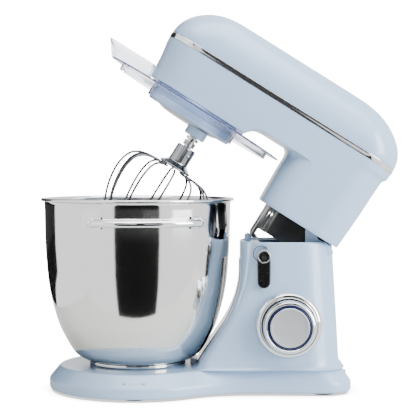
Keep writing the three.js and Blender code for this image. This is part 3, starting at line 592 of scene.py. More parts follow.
trim_heights = (35, 36, 44, 54, 66, 80, *range(88, 161, 8), 164, 165)
trim = skin("front_trim", [trim_ring(z) for z in trim_heights], levels=1)
finish_piece(trim, chrome, "stand", "column_trim", slot="chrome", sharp=45)
pale_abs = shell_plastic("pale_abs", "#DCE2E8", 0.35)
clip = block("trim_clip", -36.5, -28.5, -9, 9, 31.6, 37.6, bevel=0.9)
finish_piece(bake(clip), pale_abs, "stand", slot="shell", sharp=60)

# ---------------------------------------------------------------------------
# Speed knob: a plated bezel on the column, a plated rim that turns in it, a
# navy light ring and a spun aluminium disc.
KNOB = (85.0, 86.5)
WALL_Y = -column_half(KNOB[1])
bezel = rounded([(33.4, -4), (41.0, -4), (41.0, 2.6), (38.6, 7.4), (35.2, 8.6), (33.4, 7.4)], 1.4, n=6)
finish_piece(lathe("knob_collar", bezel, KNOB[0], WALL_Y, KNOB[1], 128, "Y"), chrome, "stand", "knob_bezel",
             slot="chrome", sharp=40)
plated_abs = metal("plated_abs", "#D6D8DA", 0.13, scale=400.0, depth=0.02, spread=0.02)
rim = rounded([(30.2, 3.4), (32.7, 3.4), (32.4, 23.2), (31.0, 26.4), (28.6, 27.4), (27.6, 26.6), (26.7, 25.6),
               (26.6, 22.4), (24.2, 22.4), (24.2, 26.4), (0, 26.6), (0, 20), (30.0, 20)], 0.8, n=5)
finish_piece(lathe("knob_rim", rim, KNOB[0], WALL_Y - 0.9, KNOB[1], 128, "Y"), plated_abs, "knob", "speed_knob",
             slot="chrome_plastic", sharp=40)
light_navy = shell_plastic("navy_acrylic", "#0A1748", 0.18)
ring = rounded([(24.4, 22.8), (26.4, 22.8), (26.4, 26.3), (24.4, 26.6)], 0.5)
finish_piece(lathe("knob_ring", ring, KNOB[0], WALL_Y - 0.9, KNOB[1], 128, "Y"), light_navy, "knob",
             "knob_light_ring", slot="light_ring", sharp=40)
spun = metal("spun_aluminium", "#C0C4C7", 0.52, (1.0, 0.0, 0.0), 1500.0, 0.12, 0.05,
             turned=((KNOB[0] * MM, 0, KNOB[1] * MM), (0, 1, 0)))
dish = rounded([(0, 27.0), (12, 27.1), (20, 27.5), (23.4, 28.0), (24.0, 27.2), (23.8, 26.7), (0, 26.7)], 0.5)
finish_piece(lathe("knob_disc", dish, KNOB[0], WALL_Y - 0.9, KNOB[1], 128, "Y"), spun, "knob", "knob_cap",
             slot="brushed_disc", sharp=40)

# ---------------------------------------------------------------------------
# Tilt lever: a glossy black pill that turns about its upper end, with a plated
# ring and a raised padlock. A moulded line round its hub shows its swing.
LEVER = (54.5, 171.0)
LEVER_LONG = 31.0  # from its hub to the centre of its round lower end
LEVER_Y = -column_half(LEVER[1] - 39.4)


def black_gloss(name, code="#0C0D0F", roughness=0.16):
    """Black ABS with a polished skin: deep black, sharp highlights, faint dust."""
    mat = bpy.data.materials.new(name)
    mat.use_nodes = True
    t = mat.node_tree
    place = add(t, "ShaderNodeTexCoord")
    dust = add(t, "ShaderNodeTexNoise", {"Vector": place.outputs["Object"], "Scale": 260.0, "Detail": 4.0})
    rough = add(t, "ShaderNodeMapRange", {"Value": dust.outputs["Fac"], "To Min": roughness,
                                          "To Max": roughness + 0.12})
    base = rgb(code)
    tone = add(t, "ShaderNodeMixRGB", {"Fac": dust.outputs["Fac"], "Color1": base,
                                       "Color2": tuple(c * 1.6 for c in base[:3]) + (1,)})
    s = t.nodes["Principled BSDF"]
    t.links.new(tone.outputs["Color"], s.inputs["Base Color"])
    t.links.new(rough.outputs["Result"], s.inputs["Roughness"])
    s.inputs["IOR"].default_value = 1.53
    return mat


lever_black = black_gloss("gloss_black_abs", "#050506", 0.2)


def pill(r_top, r_low, y):
    x, z = LEVER
    line = arc(x, z, r_top, 0, 195, 13) + arc(x, z - LEVER_LONG, r_low, 180, 375, 13)
    return [(px, y, pz) for px, pz in line]


lever = skin("lever_pill", [pill(top, top - 0.3, LEVER_Y - out) for top, out in (
    (8.0, 0.8), (8.3, 1.3), (8.3, 5.6), (8.0, 6.9), (7.2, 7.6), (6.6, 7.7))], levels=2)
finish_piece(bake(lever), lever_black, "lever", "tilt_lever", slot="black_plastic", sharp=50)
ring = rounded([(6.3, 6.8), (8.1, 6.8), (8.0, 8.3), (6.6, 8.5)], 0.4)
finish_piece(lathe("lever_bezel", ring, LEVER[0], LEVER_Y, LEVER[1], 64, "Y"), chrome, "lever", "lever_ring",
             slot="chrome", sharp=40)


def relief(name, lines, y0, y1, body, material):
    """Raised marks: each (x, z) line becomes a thin plate facing -Y."""
    verts, faces = [], []
    for line in lines:
        n, s0 = len(line), len(verts)
        verts += [(x, y0, z) for x, z in line] + [(x, y1, z) for x, z in line]
        faces += [tuple(range(s0, s0 + n)), tuple(range(s0 + 2 * n - 1, s0 + n - 1, -1))]
        faces += [(s0 + i, s0 + (i + 1) % n, s0 + n + (i + 1) % n, s0 + n + i) for i in range(n)]
    obj = solid(name, verts, faces, smooth=False)
    return finish_piece(obj, material, body, slot="chrome")


lx, lz = LEVER
lock_body = [(lx - 3.1, lz - 3.6), (lx + 3.1, lz - 3.6), (lx + 3.1, lz + 0.6), (lx - 3.1, lz + 0.6)]
shackle = arc(lx, lz + 0.6, 2.5, 0, 180, 12) + [(lx - 2.5, lz + 0.6)]
shackle += arc(lx, lz + 0.6, 1.7, 180, 0, 12) + [(lx + 1.7, lz + 0.6)]
relief("lever_padlock", [lock_body, shackle], LEVER_Y - 8.2, LEVER_Y - 7.5, "lever", chrome)
groove_dark = shell_plastic("groove_shadow", "#26303C", 0.6)
hub = [arc(lx - 3.2, lz + 3.0, 10.1, 38, 262, 36) + arc(lx - 3.2, lz + 3.0, 9.2, 262, 38, 36)]
HUB_Y = -column_half(LEVER[1]) - 0.1
relief("lever_hub_line", hub, HUB_Y - 0.4, HUB_Y + 2.4, "stand", groove_dark)
on_cad(zinc_steel, "lever_shaft", "latch_bar")
on_cad(black_gloss("switch_plastic", "#1C1E20", 0.4), "speed_switch")

# ---------------------------------------------------------------------------
# Safety post: a stub with a sprung pin on the column's deck, inside the neck's
# outline when the head is closed.
POST_X = 36.5
post = rounded([(2.3, 183), (3.3, 183), (3.3, 188.1), (4.6, 188.1), (4.5, 194.8), (3.9, 195.6), (2.3, 195.6)], 0.4)
finish_piece(lathe("safety_post", post, POST_X, 0, steps=40), blue_abs, "stand", "interlock_post",
             slot="shell", sharp=40)
pin = rounded([(0, 176), (2.0, 176), (2.0, 196.0), (1.2, 197.2), (0, 197.2)], 0.4)
finish_piece(lathe("safety_pin", pin, POST_X, 0, steps=32), zinc_steel, "interlock", "interlock_pin",
             slot="steel", sharp=40)
on_cad(zinc_steel, "hinge_pin")
on_cad(foot_rubber, "cord_gland")

# ---------------------------------------------------------------------------
# Head: two glossy light-blue mouldings, a domed cover and a lower housing, with
# a bright plated strip in the joint between them. All of it tilts on the hinge.
HEAD_X0, HEAD_X1, HEAD_HALF = -177.2, 149.5, 58.5  # nose, rear end and half-width
COVER_EYE = (-20, 0)
DOME = (309.95, 54.05)  # height where the dome starts, and its rise


def cover_ring(u, inward=0.0):
    k = 1 - math.sqrt(max(0.0, 1 - u * u))
    x0, x1, w = HEAD_X0 + 65 * k, HEAD_X1 - 77 * k, HEAD_HALF - 47 * k
    line = along(box_plan(x0, x1, w, min(44, 0.97 * w), min(44, 0.97 * w)), cover_angles, COVER_EYE)
    if inward:
        line = [(x + (min(max(x, x0 + w), x1 - w) - x) * inward, y * (1 - inward)) for x, y in line]
    return [(x, y, DOME[0] + DOME[1] * u) for x, y in line]


cover_angles = even_angles(box_plan(HEAD_X0, HEAD_X1, HEAD_HALF, 44, 44), COVER_EYE, 180)
rings = [[(x * 0.97 - 0.6, y * 0.94, 303.6) for x, y, z in cover_ring(0)],
         [(x, y, 309.97) for x, y, z in cover_ring(0)]]
rings += [cover_ring(math.sin(math.radians(a))) for a in (1.2, 4, 8, 13, 18, *range(24, 85, 6))]
rings += [cover_ring(1.0, t) for t in (0.0, 0.3, 0.6, 0.9)]
cover = skin("cover_shell", rings, start_cap=False, tilted=True, levels=1)
finish_piece(bake(cover), blue_abs, "head", "head_top_cover", slot="shell", sharp=60)


def strip_ring(z, out):
    line = box_plan(HEAD_X0 - out, HEAD_X1 + out, HEAD_HALF + out, 44.4, 44.4)
    return [(x, y, z) for x, y in along(line, cover_angles, COVER_EYE)]


STRIP = ((303.25, -1.8), (303.25, 0.2), (303.5, 0.42), (304, 0.5), (309, 0.5), (309.5, 0.42), (309.75, 0.2),
         (309.75, -1.8))
band = skin("head_strip", [strip_ring(z, out) for z, out in STRIP], start_cap=False, end_cap=False, tilted=True,
            levels=0)
finish_piece(band, chrome, "head", "head_trim_band", slot="chrome", sharp=50)


# Lower housing: the front hangs over the bowl, an arch leads back to the neck.
def corners(line, radii, n=6):
    """The (r, z) line with each corner turned into an arc of its own radius."""
    out = []
    for i, (x, y) in enumerate(line):
        b, radius = Vector((x, y)), radii[i]
        if not radius or i in (0, len(line) - 1):
            out.append((x, y))
            continue
        a, c = Vector(line[i - 1]) - b, Vector(line[i + 1]) - b
        cut = min(radius, a.length * 0.48, c.length * 0.48)
        p, q = b + a.normalized() * cut, b + c.normalized() * cut
        for k in range(n + 1):
            out.append(tuple(p * (1 - k / n) ** 2 + b * 2 * (k / n) * (1 - k / n) + q * (k / n) ** 2))
    return out


def respace(line, count, bend=14.0):
    """The line again with count points, closer together where it bends."""
    cost, total = [0.0], 0.0
    for i in range(1, len(line)):
        a, b = Vector(line[i - 1]), Vector(line[i])
        turn = 0.0
        if i < len(line) - 1 and (b - a).length > 1e-6 and (Vector(line[i + 1]) - b).length > 1e-6:
            turn = (b - a).angle(Vector(line[i + 1]) - b)
        total += (b - a).length + bend * turn
        cost.append(total)
    out, i = [], 0
    for k in range(count):
        want = total * k / (count - 1)
        while i < len(line) - 2 and cost[i + 1] < want:
            i += 1
        f = min(1.0, (want - cost[i]) / max(cost[i + 1] - cost[i], 1e-9))
        out.append(tuple(Vector(line[i]) * (1 - f) + Vector(line[i + 1]) * f))
    return out


# the housing's lines run out from this point; then where the nose's underside turns up, as X and
# height, and for the body and the neck each height with its front, rear and half-width
EYE = (85.0, 0.0)
UNDER = ((-35.0, 249.0), (-30.0, 256.5), (-24.0, 261.3), (-16.0, 263.0))
BODY_SIDE = ((303.05, -177.2, 149.5, 58.5), (297, -176.9, 149.3, 58.5), (293.6, -176.5, 148.6, 58.5),
             (291.4, -176.0, 146.6, 58.5), (289.2, -175.6, 145.0, 58.5), (285, -175, 144.5, 58.5),
             (276, -173.6, 144.2, 58.5), (249, -170.2, 143.4, 58.5))
NECK_SIDE = ((263, 24.8, 143.7, 58.45), (236, 24.8, 143.2, 58.4), (212, 25.7, 142, 58.3), (192, 26.6, 141, 58.2),
             (190.0, 27.2, 140.4, 57.7), (189.6, 28.2, 139.4, 56.8), (189.6, 29.4, 138.2, 55.6),
             (190.4, 29.7, 137.9, 55.3), (238, 28.2, 139.4, 55.6))
housing_angles = even_angles(box_plan(HEAD_X0, HEAD_X1, HEAD_HALF, 44, 44), EYE, 220)


def reach(line):
    return [math.dist(p, EYE) for p in along(line, housing_angles, EYE)]


body_reach = [reach(box_plan(x0, x1, w, 44, 44)) for z, x0, x1, w in BODY_SIDE]
neck_reach = [reach(box_plan(x0, x1, w, 34, 43)) for z, x0, x1, w in NECK_SIDE]
columns = []
for i, a in enumerate(housing_angles):
    c = math.cos(a)
    x_end = EYE[0] + body_reach[-1][i] * c
    low = 263.0
    for (xa, za), (xb, zb) in zip(((-400.0, 249.0),) + UNDER, UNDER):
        if xa <= x_end < xb:
            low = za + (zb - za) * (x_end - xa) / (xb - xa)
    side = [(row[i], entry[0]) for row, entry in zip(body_reach, BODY_SIDE) if entry[0] > low + 4]
    outer = side[-1][0] + (body_reach[-1][i] - side[-1][0]) * 0.5
    side.append((outer, low + 4))
    line, radii = [side[-1], (outer, low)], [0, 3.2]
    if c < 0:
        for x, z in UNDER:
            r = (x - EYE[0]) / c
            if r < outer - 1 and x < 10:
                line.append((r, z))
                radii.append(3.0)
    neck = [(min(row[i], outer), entry[0]) for row, entry in zip(neck_reach, NECK_SIDE)]
    line += [neck[0], neck[1]]
    radii += [25.0, 0]
    turn = respace(corners(line, radii, 8), 96)
    path = side[:-1] + turn + respace(neck[1:4], 10)[1:] + neck[4:]
    path = [side[0]] + respace(side, 16)[1:-1] + path[len(side) - 1:]
    columns.append([(EYE[0] + r * c, r * math.sin(a), z) for r, z in path])
housing = skin("lower_shell", [[col[k] for col in columns] for k in range(len(columns[0]))], start_cap=False,
               end_cap=False, tilted=True, levels=0)
finish_piece(housing, blue_abs, "head", "head_lower_housing", slot="shell", sharp=40)

# Small blind hole in the near side, for the guard's clip.
pit = [(4.6, 57.9), (4.6, 58.54), (4.3, 58.75), (4.0, 58.5), (3.9, 56.0), (0, 56.0), (0, 55.4), (4.6, 55.4)]
dimple = lathe("guard_clip_hole", pit, -30, 0, 277, 48, "Y", tilted=True)
finish_piece(dimple, blue_abs, "head", slot="shell", sharp=35)

# ---------------------------------------------------------------------------
# Hinge and latch: a black pressed bracket under the neck turns on the pin
# between two blue cheeks, and two steel plates with hooks meet the latch bar.
black_paint = black_gloss("black_painted_steel", "#08090A", 0.35)


def plate_piece(name, outline, y0, y1, tilted=False, bevel=0.4, holes=()):
    """A flat plate standing along X and Z, with its edges broken."""
    n = len(outline)
    verts = [(x, y0, z) for x, z in outline] + [(x, y1, z) for x, z in outline]
    faces = [tuple(range(n)), tuple(range(2 * n - 1, n - 1, -1))]
    faces += [(i, (i + 1) % n, n + (i + 1) % n, n + i) for i in range(n)]
    obj = solid(name, verts, faces, tilted, smooth=False)
    if bevel:
        soft = obj.modifiers.new("soft", "BEVEL")
        soft.width, soft.segments, soft.limit_method = bevel * MM, 2, "ANGLE"
        bake(obj)
    for line in holes:
        m = len(line)
        tool = solid(name + "_hole", [(x, y0 - 1, z) for x, z in line] + [(x, y1 + 1, z) for x, z in line],
                     [tuple(range(m)), tuple(range(2 * m - 1, m - 1, -1))]
                     + [(i, (i + 1) % m, m + (i + 1) % m, m + i) for i in range(m)], tilted, smooth=False)
        bore(obj, tool)
    return obj


side = rounded([(54, 252), (108, 252), (119, 205), (132, 180), (133, 167), (125, 161.7), (114, 157.2),
                (98, 152.7), (79, 152.7), (76, 159), (54, 159)], 4.0)
pin_hole = arc(HINGE[0], HINGE[1], 4.8, 0, 360, 24)
for tag, y0 in (("near", -34.6), ("far", 32.0)):
    cheek = plate_piece(f"bracket_{tag}", side, y0, y0 + 2.6, True, holes=[pin_hole])
    finish_piece(cheek, black_paint, "head", "hinge_bracket", slot="black_metal", sharp=40)
web = bake(block("bracket_web", 54, 57, -32.2, 32.2, 159, 252, True, bevel=0.6))
finish_piece(web, black_paint, "head", "hinge_bracket", slot="black_metal", sharp=50)

latch_steel = metal("stamped_steel", "#C3C4C4", 0.2, (1.0, 1.0, 0.08), 500.0, 0.05, 0.06)
tongue = rounded([(37, 252), (51.4, 252), (51.4, 188), (53.4, 158), (50, 147), (42, 144), (38.5, 150),
                  (38.5, 186), (37, 200)], 2.5)
mouth = [(43, 149.4), (60, 149.4), (60, 158.6), (43, 158.6)]
keyhole = arc(46.6, 182, 2.6, -50, 230, 14) + arc(46.6, 163.5, 1.7, 180, 360, 8)
for tag, y0 in (("near", -31.2), ("far", 28.8)):
    hook = plate_piece(f"latch_hook_{tag}", tongue, y0, y0 + 2.4, True, 0.3,
                       holes=[rounded(mouth, 1.2), keyhole])
    finish_piece(hook, latch_steel, "head", f"latch_plate_{tag}", slot="steel", sharp=40)

ear = rounded([(142, 172.2), (140, 180), (132, 186.5), (122, 191), (119, 203), (116, 206), (110, 206),
               (106.5, 203), (106.5, 172.2)], 2.5)
for tag, y0 in (("near", -39.4), ("far", 36.4)):
    piece = plate_piece(f"hinge_cheek_{tag}", ear, y0, y0 + 3.0, bevel=0.6)
    finish_piece(piece, blue_abs, "stand", slot="shell", sharp=40)

# ---------------------------------------------------------------------------
# Planetary drive: a blue flange under the head's nose, and in it the turning
# hub of pale cast metal with the blue boss that carries the tool spindle.
ORBIT, ORBIT_AT = 30, math.radians(-53.7)  # the spindle's distance from the bowl's axis, and where it stands
SPINDLE = (BOWL_X + ORBIT * math.cos(ORBIT_AT), ORBIT * math.sin(ORBIT_AT))
flange = rounded([(51.6, 226.1), (57.5, 226.1), (58.45, 227.6), (58.45, 248.6), (54.3, 248.6), (54.3, 262),
                  (51.6, 262)], 0.8)
finish_piece(lathe("drive_flange", flange, BOWL_X, 0, steps=128, tilted=True), blue_abs, "head",
             "planetary_housing", slot="shell", sharp=35)
pale_cast = shell_plastic("pale_painted_cast", "#C9CDD0", 0.38)
hub_line = rounded([(0, 222.05), (20, 222.05), (36, 223.4), (46, 226.6), (50.4, 231), (51.0, 236),
                    (49.4, 239.5), (0, 239.5)], 3.0)
hub = lathe("hub_cone", hub_line, BOWL_X, 0, steps=96, tilted=True)
finish_piece(hub, pale_cast, "carrier", "planet_hub", slot="cast_metal", sharp=40)
boss = rounded([(5.5, 212.1), (12.8, 212.1), (13.95, 213.4), (13.95, 224.0), (5.5, 224.0)], 0.9)
finish_piece(lathe("tool_boss", boss, *SPINDLE, steps=64, tilted=True), blue_abs, "carrier", "spindle_boss",
             slot="shell", sharp=35)

# ---------------------------------------------------------------------------
# Whisk and spindle: a polished shaft with a cross pin and spring, a plated hub
# pushed over it, and six loops of spring wire set in the hub's skirt.
polished_steel = metal("polished_steel", "#C6C7C8", 0.1, scale=300.0, depth=0.02, spread=0.03)
shaft = rounded([(0, 181.1), (4.2, 181.1), (5, 182), (5, 207), (8, 207), (8, 211.6), (5, 211.6), (5, 224),
                 (0, 224)], 0.35)
finish_piece(lathe("tool_shaft", shaft, *SPINDLE, steps=48, tilted=True), polished_steel, "beater", "spindle",
             slot="steel", sharp=35)


def sweep(name, path, radius, sides=10, tilted=False):
    """A round bar along the path, its ends closed with small domes."""
    points = [Vector(p) for p in path]
    verts, faces, normal = [], [], None
    for i, p in enumerate(points):
        ahead = points[min(i + 1, len(points) - 1)] - points[max(i - 1, 0)]
        ahead.normalize()
        if normal is None:
            normal = ahead.orthogonal().normalized()
        normal = (normal - ahead * normal.dot(ahead)).normalized()
        other = ahead.cross(normal)
        r = radius * (0.7 if i in (0, len(points) - 1) else 1.0)
        for k in range(sides):
            a = TAU * k / sides
            verts.append(p + normal * (r * math.cos(a)) + other * (r * math.sin(a)))
    for i in range(len(points) - 1):
        for k in range(sides):
            j = (k + 1) % sides
            faces.append((i * sides + k, i * sides + j, (i + 1) * sides + j, (i + 1) * sides + k))
    faces += [tuple(range(sides)), tuple((len(points) - 1) * sides + k for k in range(sides))]
    return solid(name, verts, faces, tilted)


def spline(points, per=6):
    """A smooth line through the points."""
    pts = [Vector(p) for p in points]
    pts = [pts[0] * 2 - pts[1]] + pts + [pts[-1] * 2 - pts[-2]]
    out = []
    for i in range(1, len(pts) - 2):
        p0, p1, p2, p3 = pts[i - 1:i + 3]
        for k in range(per):
            t = k / per
            out.append(0.5 * ((2 * p1) + (p2 - p0) * t + (2 * p0 - 5 * p1 + 4 * p2 - p3) * t * t
                              + (3 * p1 - p0 - 3 * p2 + p3) * t ** 3))
    return out + [pts[-2]]


spring = []
for i in range(4 * 20 + 11):
    a = TAU * i / 20
    spring.append((SPINDLE[0] + 7.5 * math.cos(a), SPINDLE[1] + 7.5 * math.sin(a), 198.9 + 6.6 * i / 90))
finish_piece(sweep("shaft_spring", spring, 0.65, 8, True), polished_steel, "beater", "spindle_spring",
             slot="steel")
socket = rounded([(0, 166.9), (19.8, 166.9), (21.4, 168.3), (21.2, 169.1), (13.2, 174.6), (12.75, 176.5),
                  (12.6, 195.6), (11.6, 197.3), (5.4, 197.3), (5.4, 181), (0, 181)], 0.5)
whisk_hub = lathe("whisk_socket", socket, *SPINDLE, steps=96, tilted=True)
dark_chrome = metal("dark_chrome", "#8B8D90", 0.14, scale=200.0, depth=0.01, spread=0.02)
finish_piece(whisk_hub, dark_chrome, "beater", "whisk_hub", slot="chrome", sharp=30)
pin_way = (math.sin(math.radians(-35)), math.cos(math.radians(-35)))
pin = [(SPINDLE[0] + pin_way[0] * d, SPINDLE[1] + pin_way[1] * d, 188)
       for d in (-14.4, -13.9, -13, 0, 13, 13.9, 14.4)]
finish_piece(sweep("cross_pin", pin, 2.0, 20, True), polished_steel, "beater", "drive_pin", slot="steel",
             sharp=50)

whisk_wire = metal("spring_wire", "#5A5B5E", 0.42, scale=500.0, depth=0.03, spread=0.05)
WIRE_R = 1.4
for k in range(6):
    dip, top, wide = k * 1.9, 165.3, 62.5
    half = [(19.6, top), (34, top - 0.6), (47, top - 3.4), (57, top - 11), (wide - 0.6, top - 24),
            (wide, top - 40), (wide - 4, top - 62), (wide - 13.5, top - 84), (wide - 28, top - 103),
            (wide - 46, top - 117 + dip * 0.6)]
    loop = half + [(0, 43 + dip)] + [(-r, h) for r, h in reversed(half)]
    a = math.radians(5 + 30 * k)
    path = [(SPINDLE[0] + r * math.cos(a), SPINDLE[1] + r * math.sin(a), h) for r, h in loop]
    finish_piece(sweep(f"wire_{k + 1}", spline(path, 5), WIRE_R, 10, True), whisk_wire, "beater",
                 f"whisk_loop_{k + 1}", slot="chrome")

# ---------------------------------------------------------------------------
# Splash guard: clear acrylic that pushes onto the flange and covers the bowl,
# with a pouring chute at the front. Its cut edges glow violet-blue.


def acrylic(name, code, edge=False):
    """Cast acrylic: clear and faintly violet; its edges gather light and look navy."""
    mat = bpy.data.materials.new(name)
    mat.use_nodes = True
    t = mat.node_tree
    place = add(t, "ShaderNodeTexCoord")
    wave = add(t, "ShaderNodeTexNoise", {"Vector": place.outputs["Object"], "Scale": 30.0, "Detail": 2.0})
    base = rgb(code)
    tone = add(t, "ShaderNodeMixRGB", {"Fac": wave.outputs["Fac"], "Color1": base,
                                       "Color2": tuple(c * 0.97 for c in base[:3]) + (1,)})
    rough = add(t, "ShaderNodeMapRange", {"Value": wave.outputs["Fac"], "To Min": 0.02, "To Max": 0.06})
    bump = add(t, "ShaderNodeBump", {"Height": wave.outputs["Fac"], "Strength": 0.04, "Distance": 0.001})
    s = t.nodes["Principled BSDF"]
    t.links.new(tone.outputs["Color"], s.inputs["Base Color"])
    t.links.new(rough.outputs["Result"], s.inputs["Roughness"])
    t.links.new(bump.outputs["Normal"], s.inputs["Normal"])
    s.inputs["IOR"].default_value = 1.2 if not edge else 1.49
    s.inputs["Transmission Weight"].default_value = 1.0 if not edge else 0.55
    return mat


clear_acrylic = acrylic("clear_acrylic", "#F0F1F8")
edge_acrylic = acrylic("acrylic_edge", "#3B4196", True)
line = rounded([(59.7, 229.1), (61.4, 229.1), (61.5, 243.0), (105.7, 243.0), (105.8, 235.5), (107.3, 235.5),
                (107.4, 243.0), (122.6, 243.0), (123.4, 243.7), (123.4, 244.3), (122.6, 244.8), (59.7, 244.8)],
               0.4, n=3)
guard = lathe("guard_disc", line, BOWL_X, 0, steps=160, tilted=True)
bore(guard, block("chute_mouth", -208, -176, -28, 28, 225, 250, True))


def tray(x_in, x_out, w_in, w_out, r, z):
    """Plan of the chute: a rounded box wider at its inner end."""
    line = rounded([(x_in, -w_in), (x_in, w_in), (x_out, w_out), (x_out, -w_out)], r, n=6)
    return [(x, y, z) for x, y in line]


wall_rings = []
for f, z in ((0.0, 245.0), (0.04, 245.8), (0.5, 254), (0.9, 261.3)):
    wall_rings.append(tray(-173.5, -226 - 12 * f, 33 + 4 * f, 29 + 4 * f, 7, z))
wall_rings += [tray(-173.0, -238.6 + 0.8, 37.3, 33.1, 7, 262.0), tray(-173.0, -237.9, 37.3, 33.1, 7, 262.8),
               tray(-173.6, -237.3, 36.7, 32.5, 6.6, 262.95), tray(-174.9, -236.0, 35.6, 31.4, 5.6, 262.8),
               tray(-175.2, -235.2, 35.1, 30.9, 5.4, 261.3)]
for f, z in ((0.5, 254), (0.04, 245.8), (0.0, 245.0)):
    wall_rings.append(tray(-175.3, -224.3 - 12 * f, 31.2 + 4 * f, 27.2 + 4 * f, 5.4, z))
chute = skin("guard_chute", wall_rings + [wall_rings[0]], start_cap=False, end_cap=False, tilted=True, levels=0)
ribs = []
for y in (-18.0, 18.0):
    ribs.append(bake(block("rib", -226.5, -224.6, y - 0.7, y + 0.7, 246, 256, True, bevel=0.3)))
for obj in (guard, chute, *ribs):
    obj.data.materials.clear()
    obj.data.materials.append(clear_acrylic)
    obj.data.materials.append(edge_acrylic)
back = TILTED.inverted()
for obj in (guard, chute):
    for face in obj.data.polygons:
        p = back @ face.center / MM
        r = math.hypot(p.x - BOWL_X, p.y)
        if obj is guard and (r > 121.8 or (105 < r < 107.8 and p.z < 236.5)) or obj is chute and p.z > 262.4:
            face.material_index = 1
for number, obj in enumerate((guard, chute, *ribs)):
    obj.name = ("guard_disc", "guard_chute", "guard_rib_a", "guard_rib_b")[number]
    obj.data.set_sharp_from_angle(angle=math.radians(35))
    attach(obj, "head")
    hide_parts("splash_guard")

# ---------------------------------------------------------------------------
# Bowl: drawn stainless steel, mirror-polished outside and brushed inside, with
# a rolled rim and a foot ring that locks in the base by turning.
bowl_polish = metal("mirror_steel", "#D6D7D6", 0.085, (1.0, 1.0, 1.0), 160.0, 0.02, 0.015)
bowl_brushed = metal("brushed_steel", "#A9ABAC", 0.28, (0.0, 1.0, 0.0), 900.0, 0.08, 0.08,
                     turned=((BOWL_X * MM, 0, 0), (0, 0, 1)))
# outside of the wall: radius, height
BOWL_SIDE = ((61.7706, 36.8), (72.0657, 41), (81.5982, 49.5), (92.783, 68.5), (100.6632, 86), (107.9079, 111.5),
             (112.6106, 137), (115.0255, 162.3), (116.5507, 187.7), (117.3769, 229))
outside = [(p.x, p.y) for p in spline([(r, z, 0) for r, z in BOWL_SIDE], 8)]
inside = [(r - 2.1, z + (2.0 if z < 60 else 0.6)) for r, z in outside]
rim_line = [(117.5, 234), (117.8, 236.6), (119.2, 238.0), (121.0, 237.9), (121.95, 238.8), (121.95, 240.4),
            (121.1, 241.4), (119.2, 241.48), (117.4, 240.6), (115.9, 238.2)]
bowl_line = [(0, 36.6), (50, 36.6)] + outside + rim_line + list(reversed(inside)) + [(50, 38.6), (0, 38.6)]
bowl = lathe("bowl_shell", bowl_line, BOWL_X, 0, steps=192)
bowl.data.materials.append(bowl_polish)
bowl.data.materials.append(bowl_brushed)
for face in bowl.data.polygons:
    c = face.center / MM
    away = face.normal.x * (c.x - BOWL_X) + face.normal.y * c.y
    if c.z < 237 and (away < 0 or (face.normal.z > 0.3 and math.hypot(c.x - BOWL_X, c.y) < 60 and c.z > 37.6)):
        face.material_index = 1
finish_piece(bowl, None, "bowl", "bowl", slot="bowl_steel", sharp=50)
foot_line = rounded([(58.1, 31.8), (60.4, 31.8), (61.3, 33.0), (61.3, 36.1), (58.1, 36.1)], 0.4)
finish_piece(lathe("bowl_foot_ring", foot_line, BOWL_X, 0, steps=128), bowl_polish, "bowl", "bowl_foot",
             slot="bowl_steel", sharp=40)

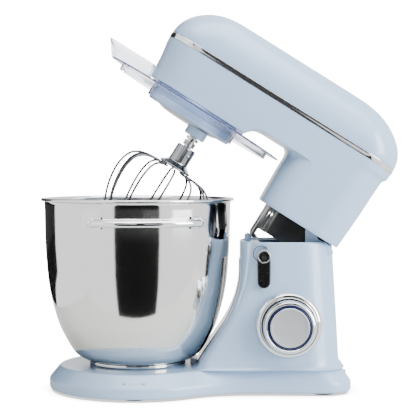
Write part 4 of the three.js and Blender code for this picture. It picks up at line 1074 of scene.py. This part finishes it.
# Handles: a bowed round bar welded to a folded bracket at each end.
bracket_steel = metal("pressed_bright_steel", "#CFD0D0", 0.09, scale=260.0, depth=0.02, spread=0.03)
for tag, turn in (("near", 8.5), ("far", 188.5)):
    spin = Matrix.Translation((BOWL_X * MM, 0, 0)) @ Matrix.Rotation(math.radians(turn), 4, "Z")
    path = []
    for i in range(-30, 31):
        a = math.radians(i * 1.02)
        rr = 134.75 - 4.5 * abs(i / 30) ** 4
        path.append((rr * math.sin(a), -rr * math.cos(a), 214))
    bar = sweep(f"handle_bar_{tag}", path, 4.35, 20)
    bar.data.transform(spin)
    finish_piece(bar, chrome, "bowl", f"bowl_handle_{tag}", slot="chrome", sharp=50)
    for side_tag, s0 in (("left", -1), ("right", 1)):
        parts = []
        at = spin @ Matrix.Rotation(math.radians(s0 * 30.6), 4, "Z")
        pad = rounded([(-8, 206.6), (8, 206.6), (8, 221.4), (-8, 221.4)], 2.0)
        verts = []
        for depth in (0.0, 1.4):
            for x, z in pad:
                verts.append((x, -math.sqrt((118.4 + depth) ** 2 - x * x), z))
        n = len(pad)
        faces = [tuple(range(n)), tuple(range(2 * n - 1, n - 1, -1))]
        faces += [(i, (i + 1) % n, n + (i + 1) % n, n + i) for i in range(n)]
        parts.append(solid(f"pad_{tag}_{side_tag}", verts, faces, smooth=False))
        leg = block(f"leg_{tag}_{side_tag}", -5.2, 5.2, -133.4, -118.6, 209.0, 219.0, bevel=1.6)
        parts.append(bake(leg))
        for dx, dz in ((-5.6, 208.9), (5.6, 208.9), (-5.6, 219.1), (5.6, 219.1)):
            dome = [(0, 0), (1.2, 0), (1.0, 0.45), (0.5, 0.7), (0, 0.75)]
            parts.append(lathe(f"weld_{tag}_{side_tag}_{dx}_{dz}", dome, dx, -119.65, dz, 12, "Y"))
        for number, piece in enumerate(parts):
            piece.data.transform(at)
            piece.name = f"bracket_{tag}_{side_tag}_{number}"
            finish_piece(piece, bracket_steel, "bowl", slot="chrome", sharp=40)

# ---------------------------------------------------------------------------
# Inside the head and column: gears and shafts of steel, a copper-wound motor, a
# toothed belt and the green control board. They keep the shapes of the CAD.
gear_steel = metal("machined_steel", "#8E9094", 0.3, scale=420.0, spread=0.1)
cast_alloy = metal("cast_aluminium", "#A6A9AC", 0.42, scale=300.0, depth=0.2, spread=0.1)
copper = metal("enamelled_copper", "#A4562E", 0.3, (1.0, 1.0, 6.0), 500.0, 0.3, 0.12)
board_green = black_gloss("solder_mask", "#1F5A38", 0.3)
on_cad(gear_steel, "ring_gear", "main_gear", "main_shaft", "planet_pinion", "layshaft", "motor_pulley",
       "armature")
on_cad(cast_alloy, "driven_pulley", "gearbox_plate")
on_cad(copper, "motor_stator")
on_cad(foot_rubber, "drive_belt")
on_cad(black_gloss("fan_plastic", "#17181A", 0.4), "motor_fan")
on_cad(board_green, "control_board")
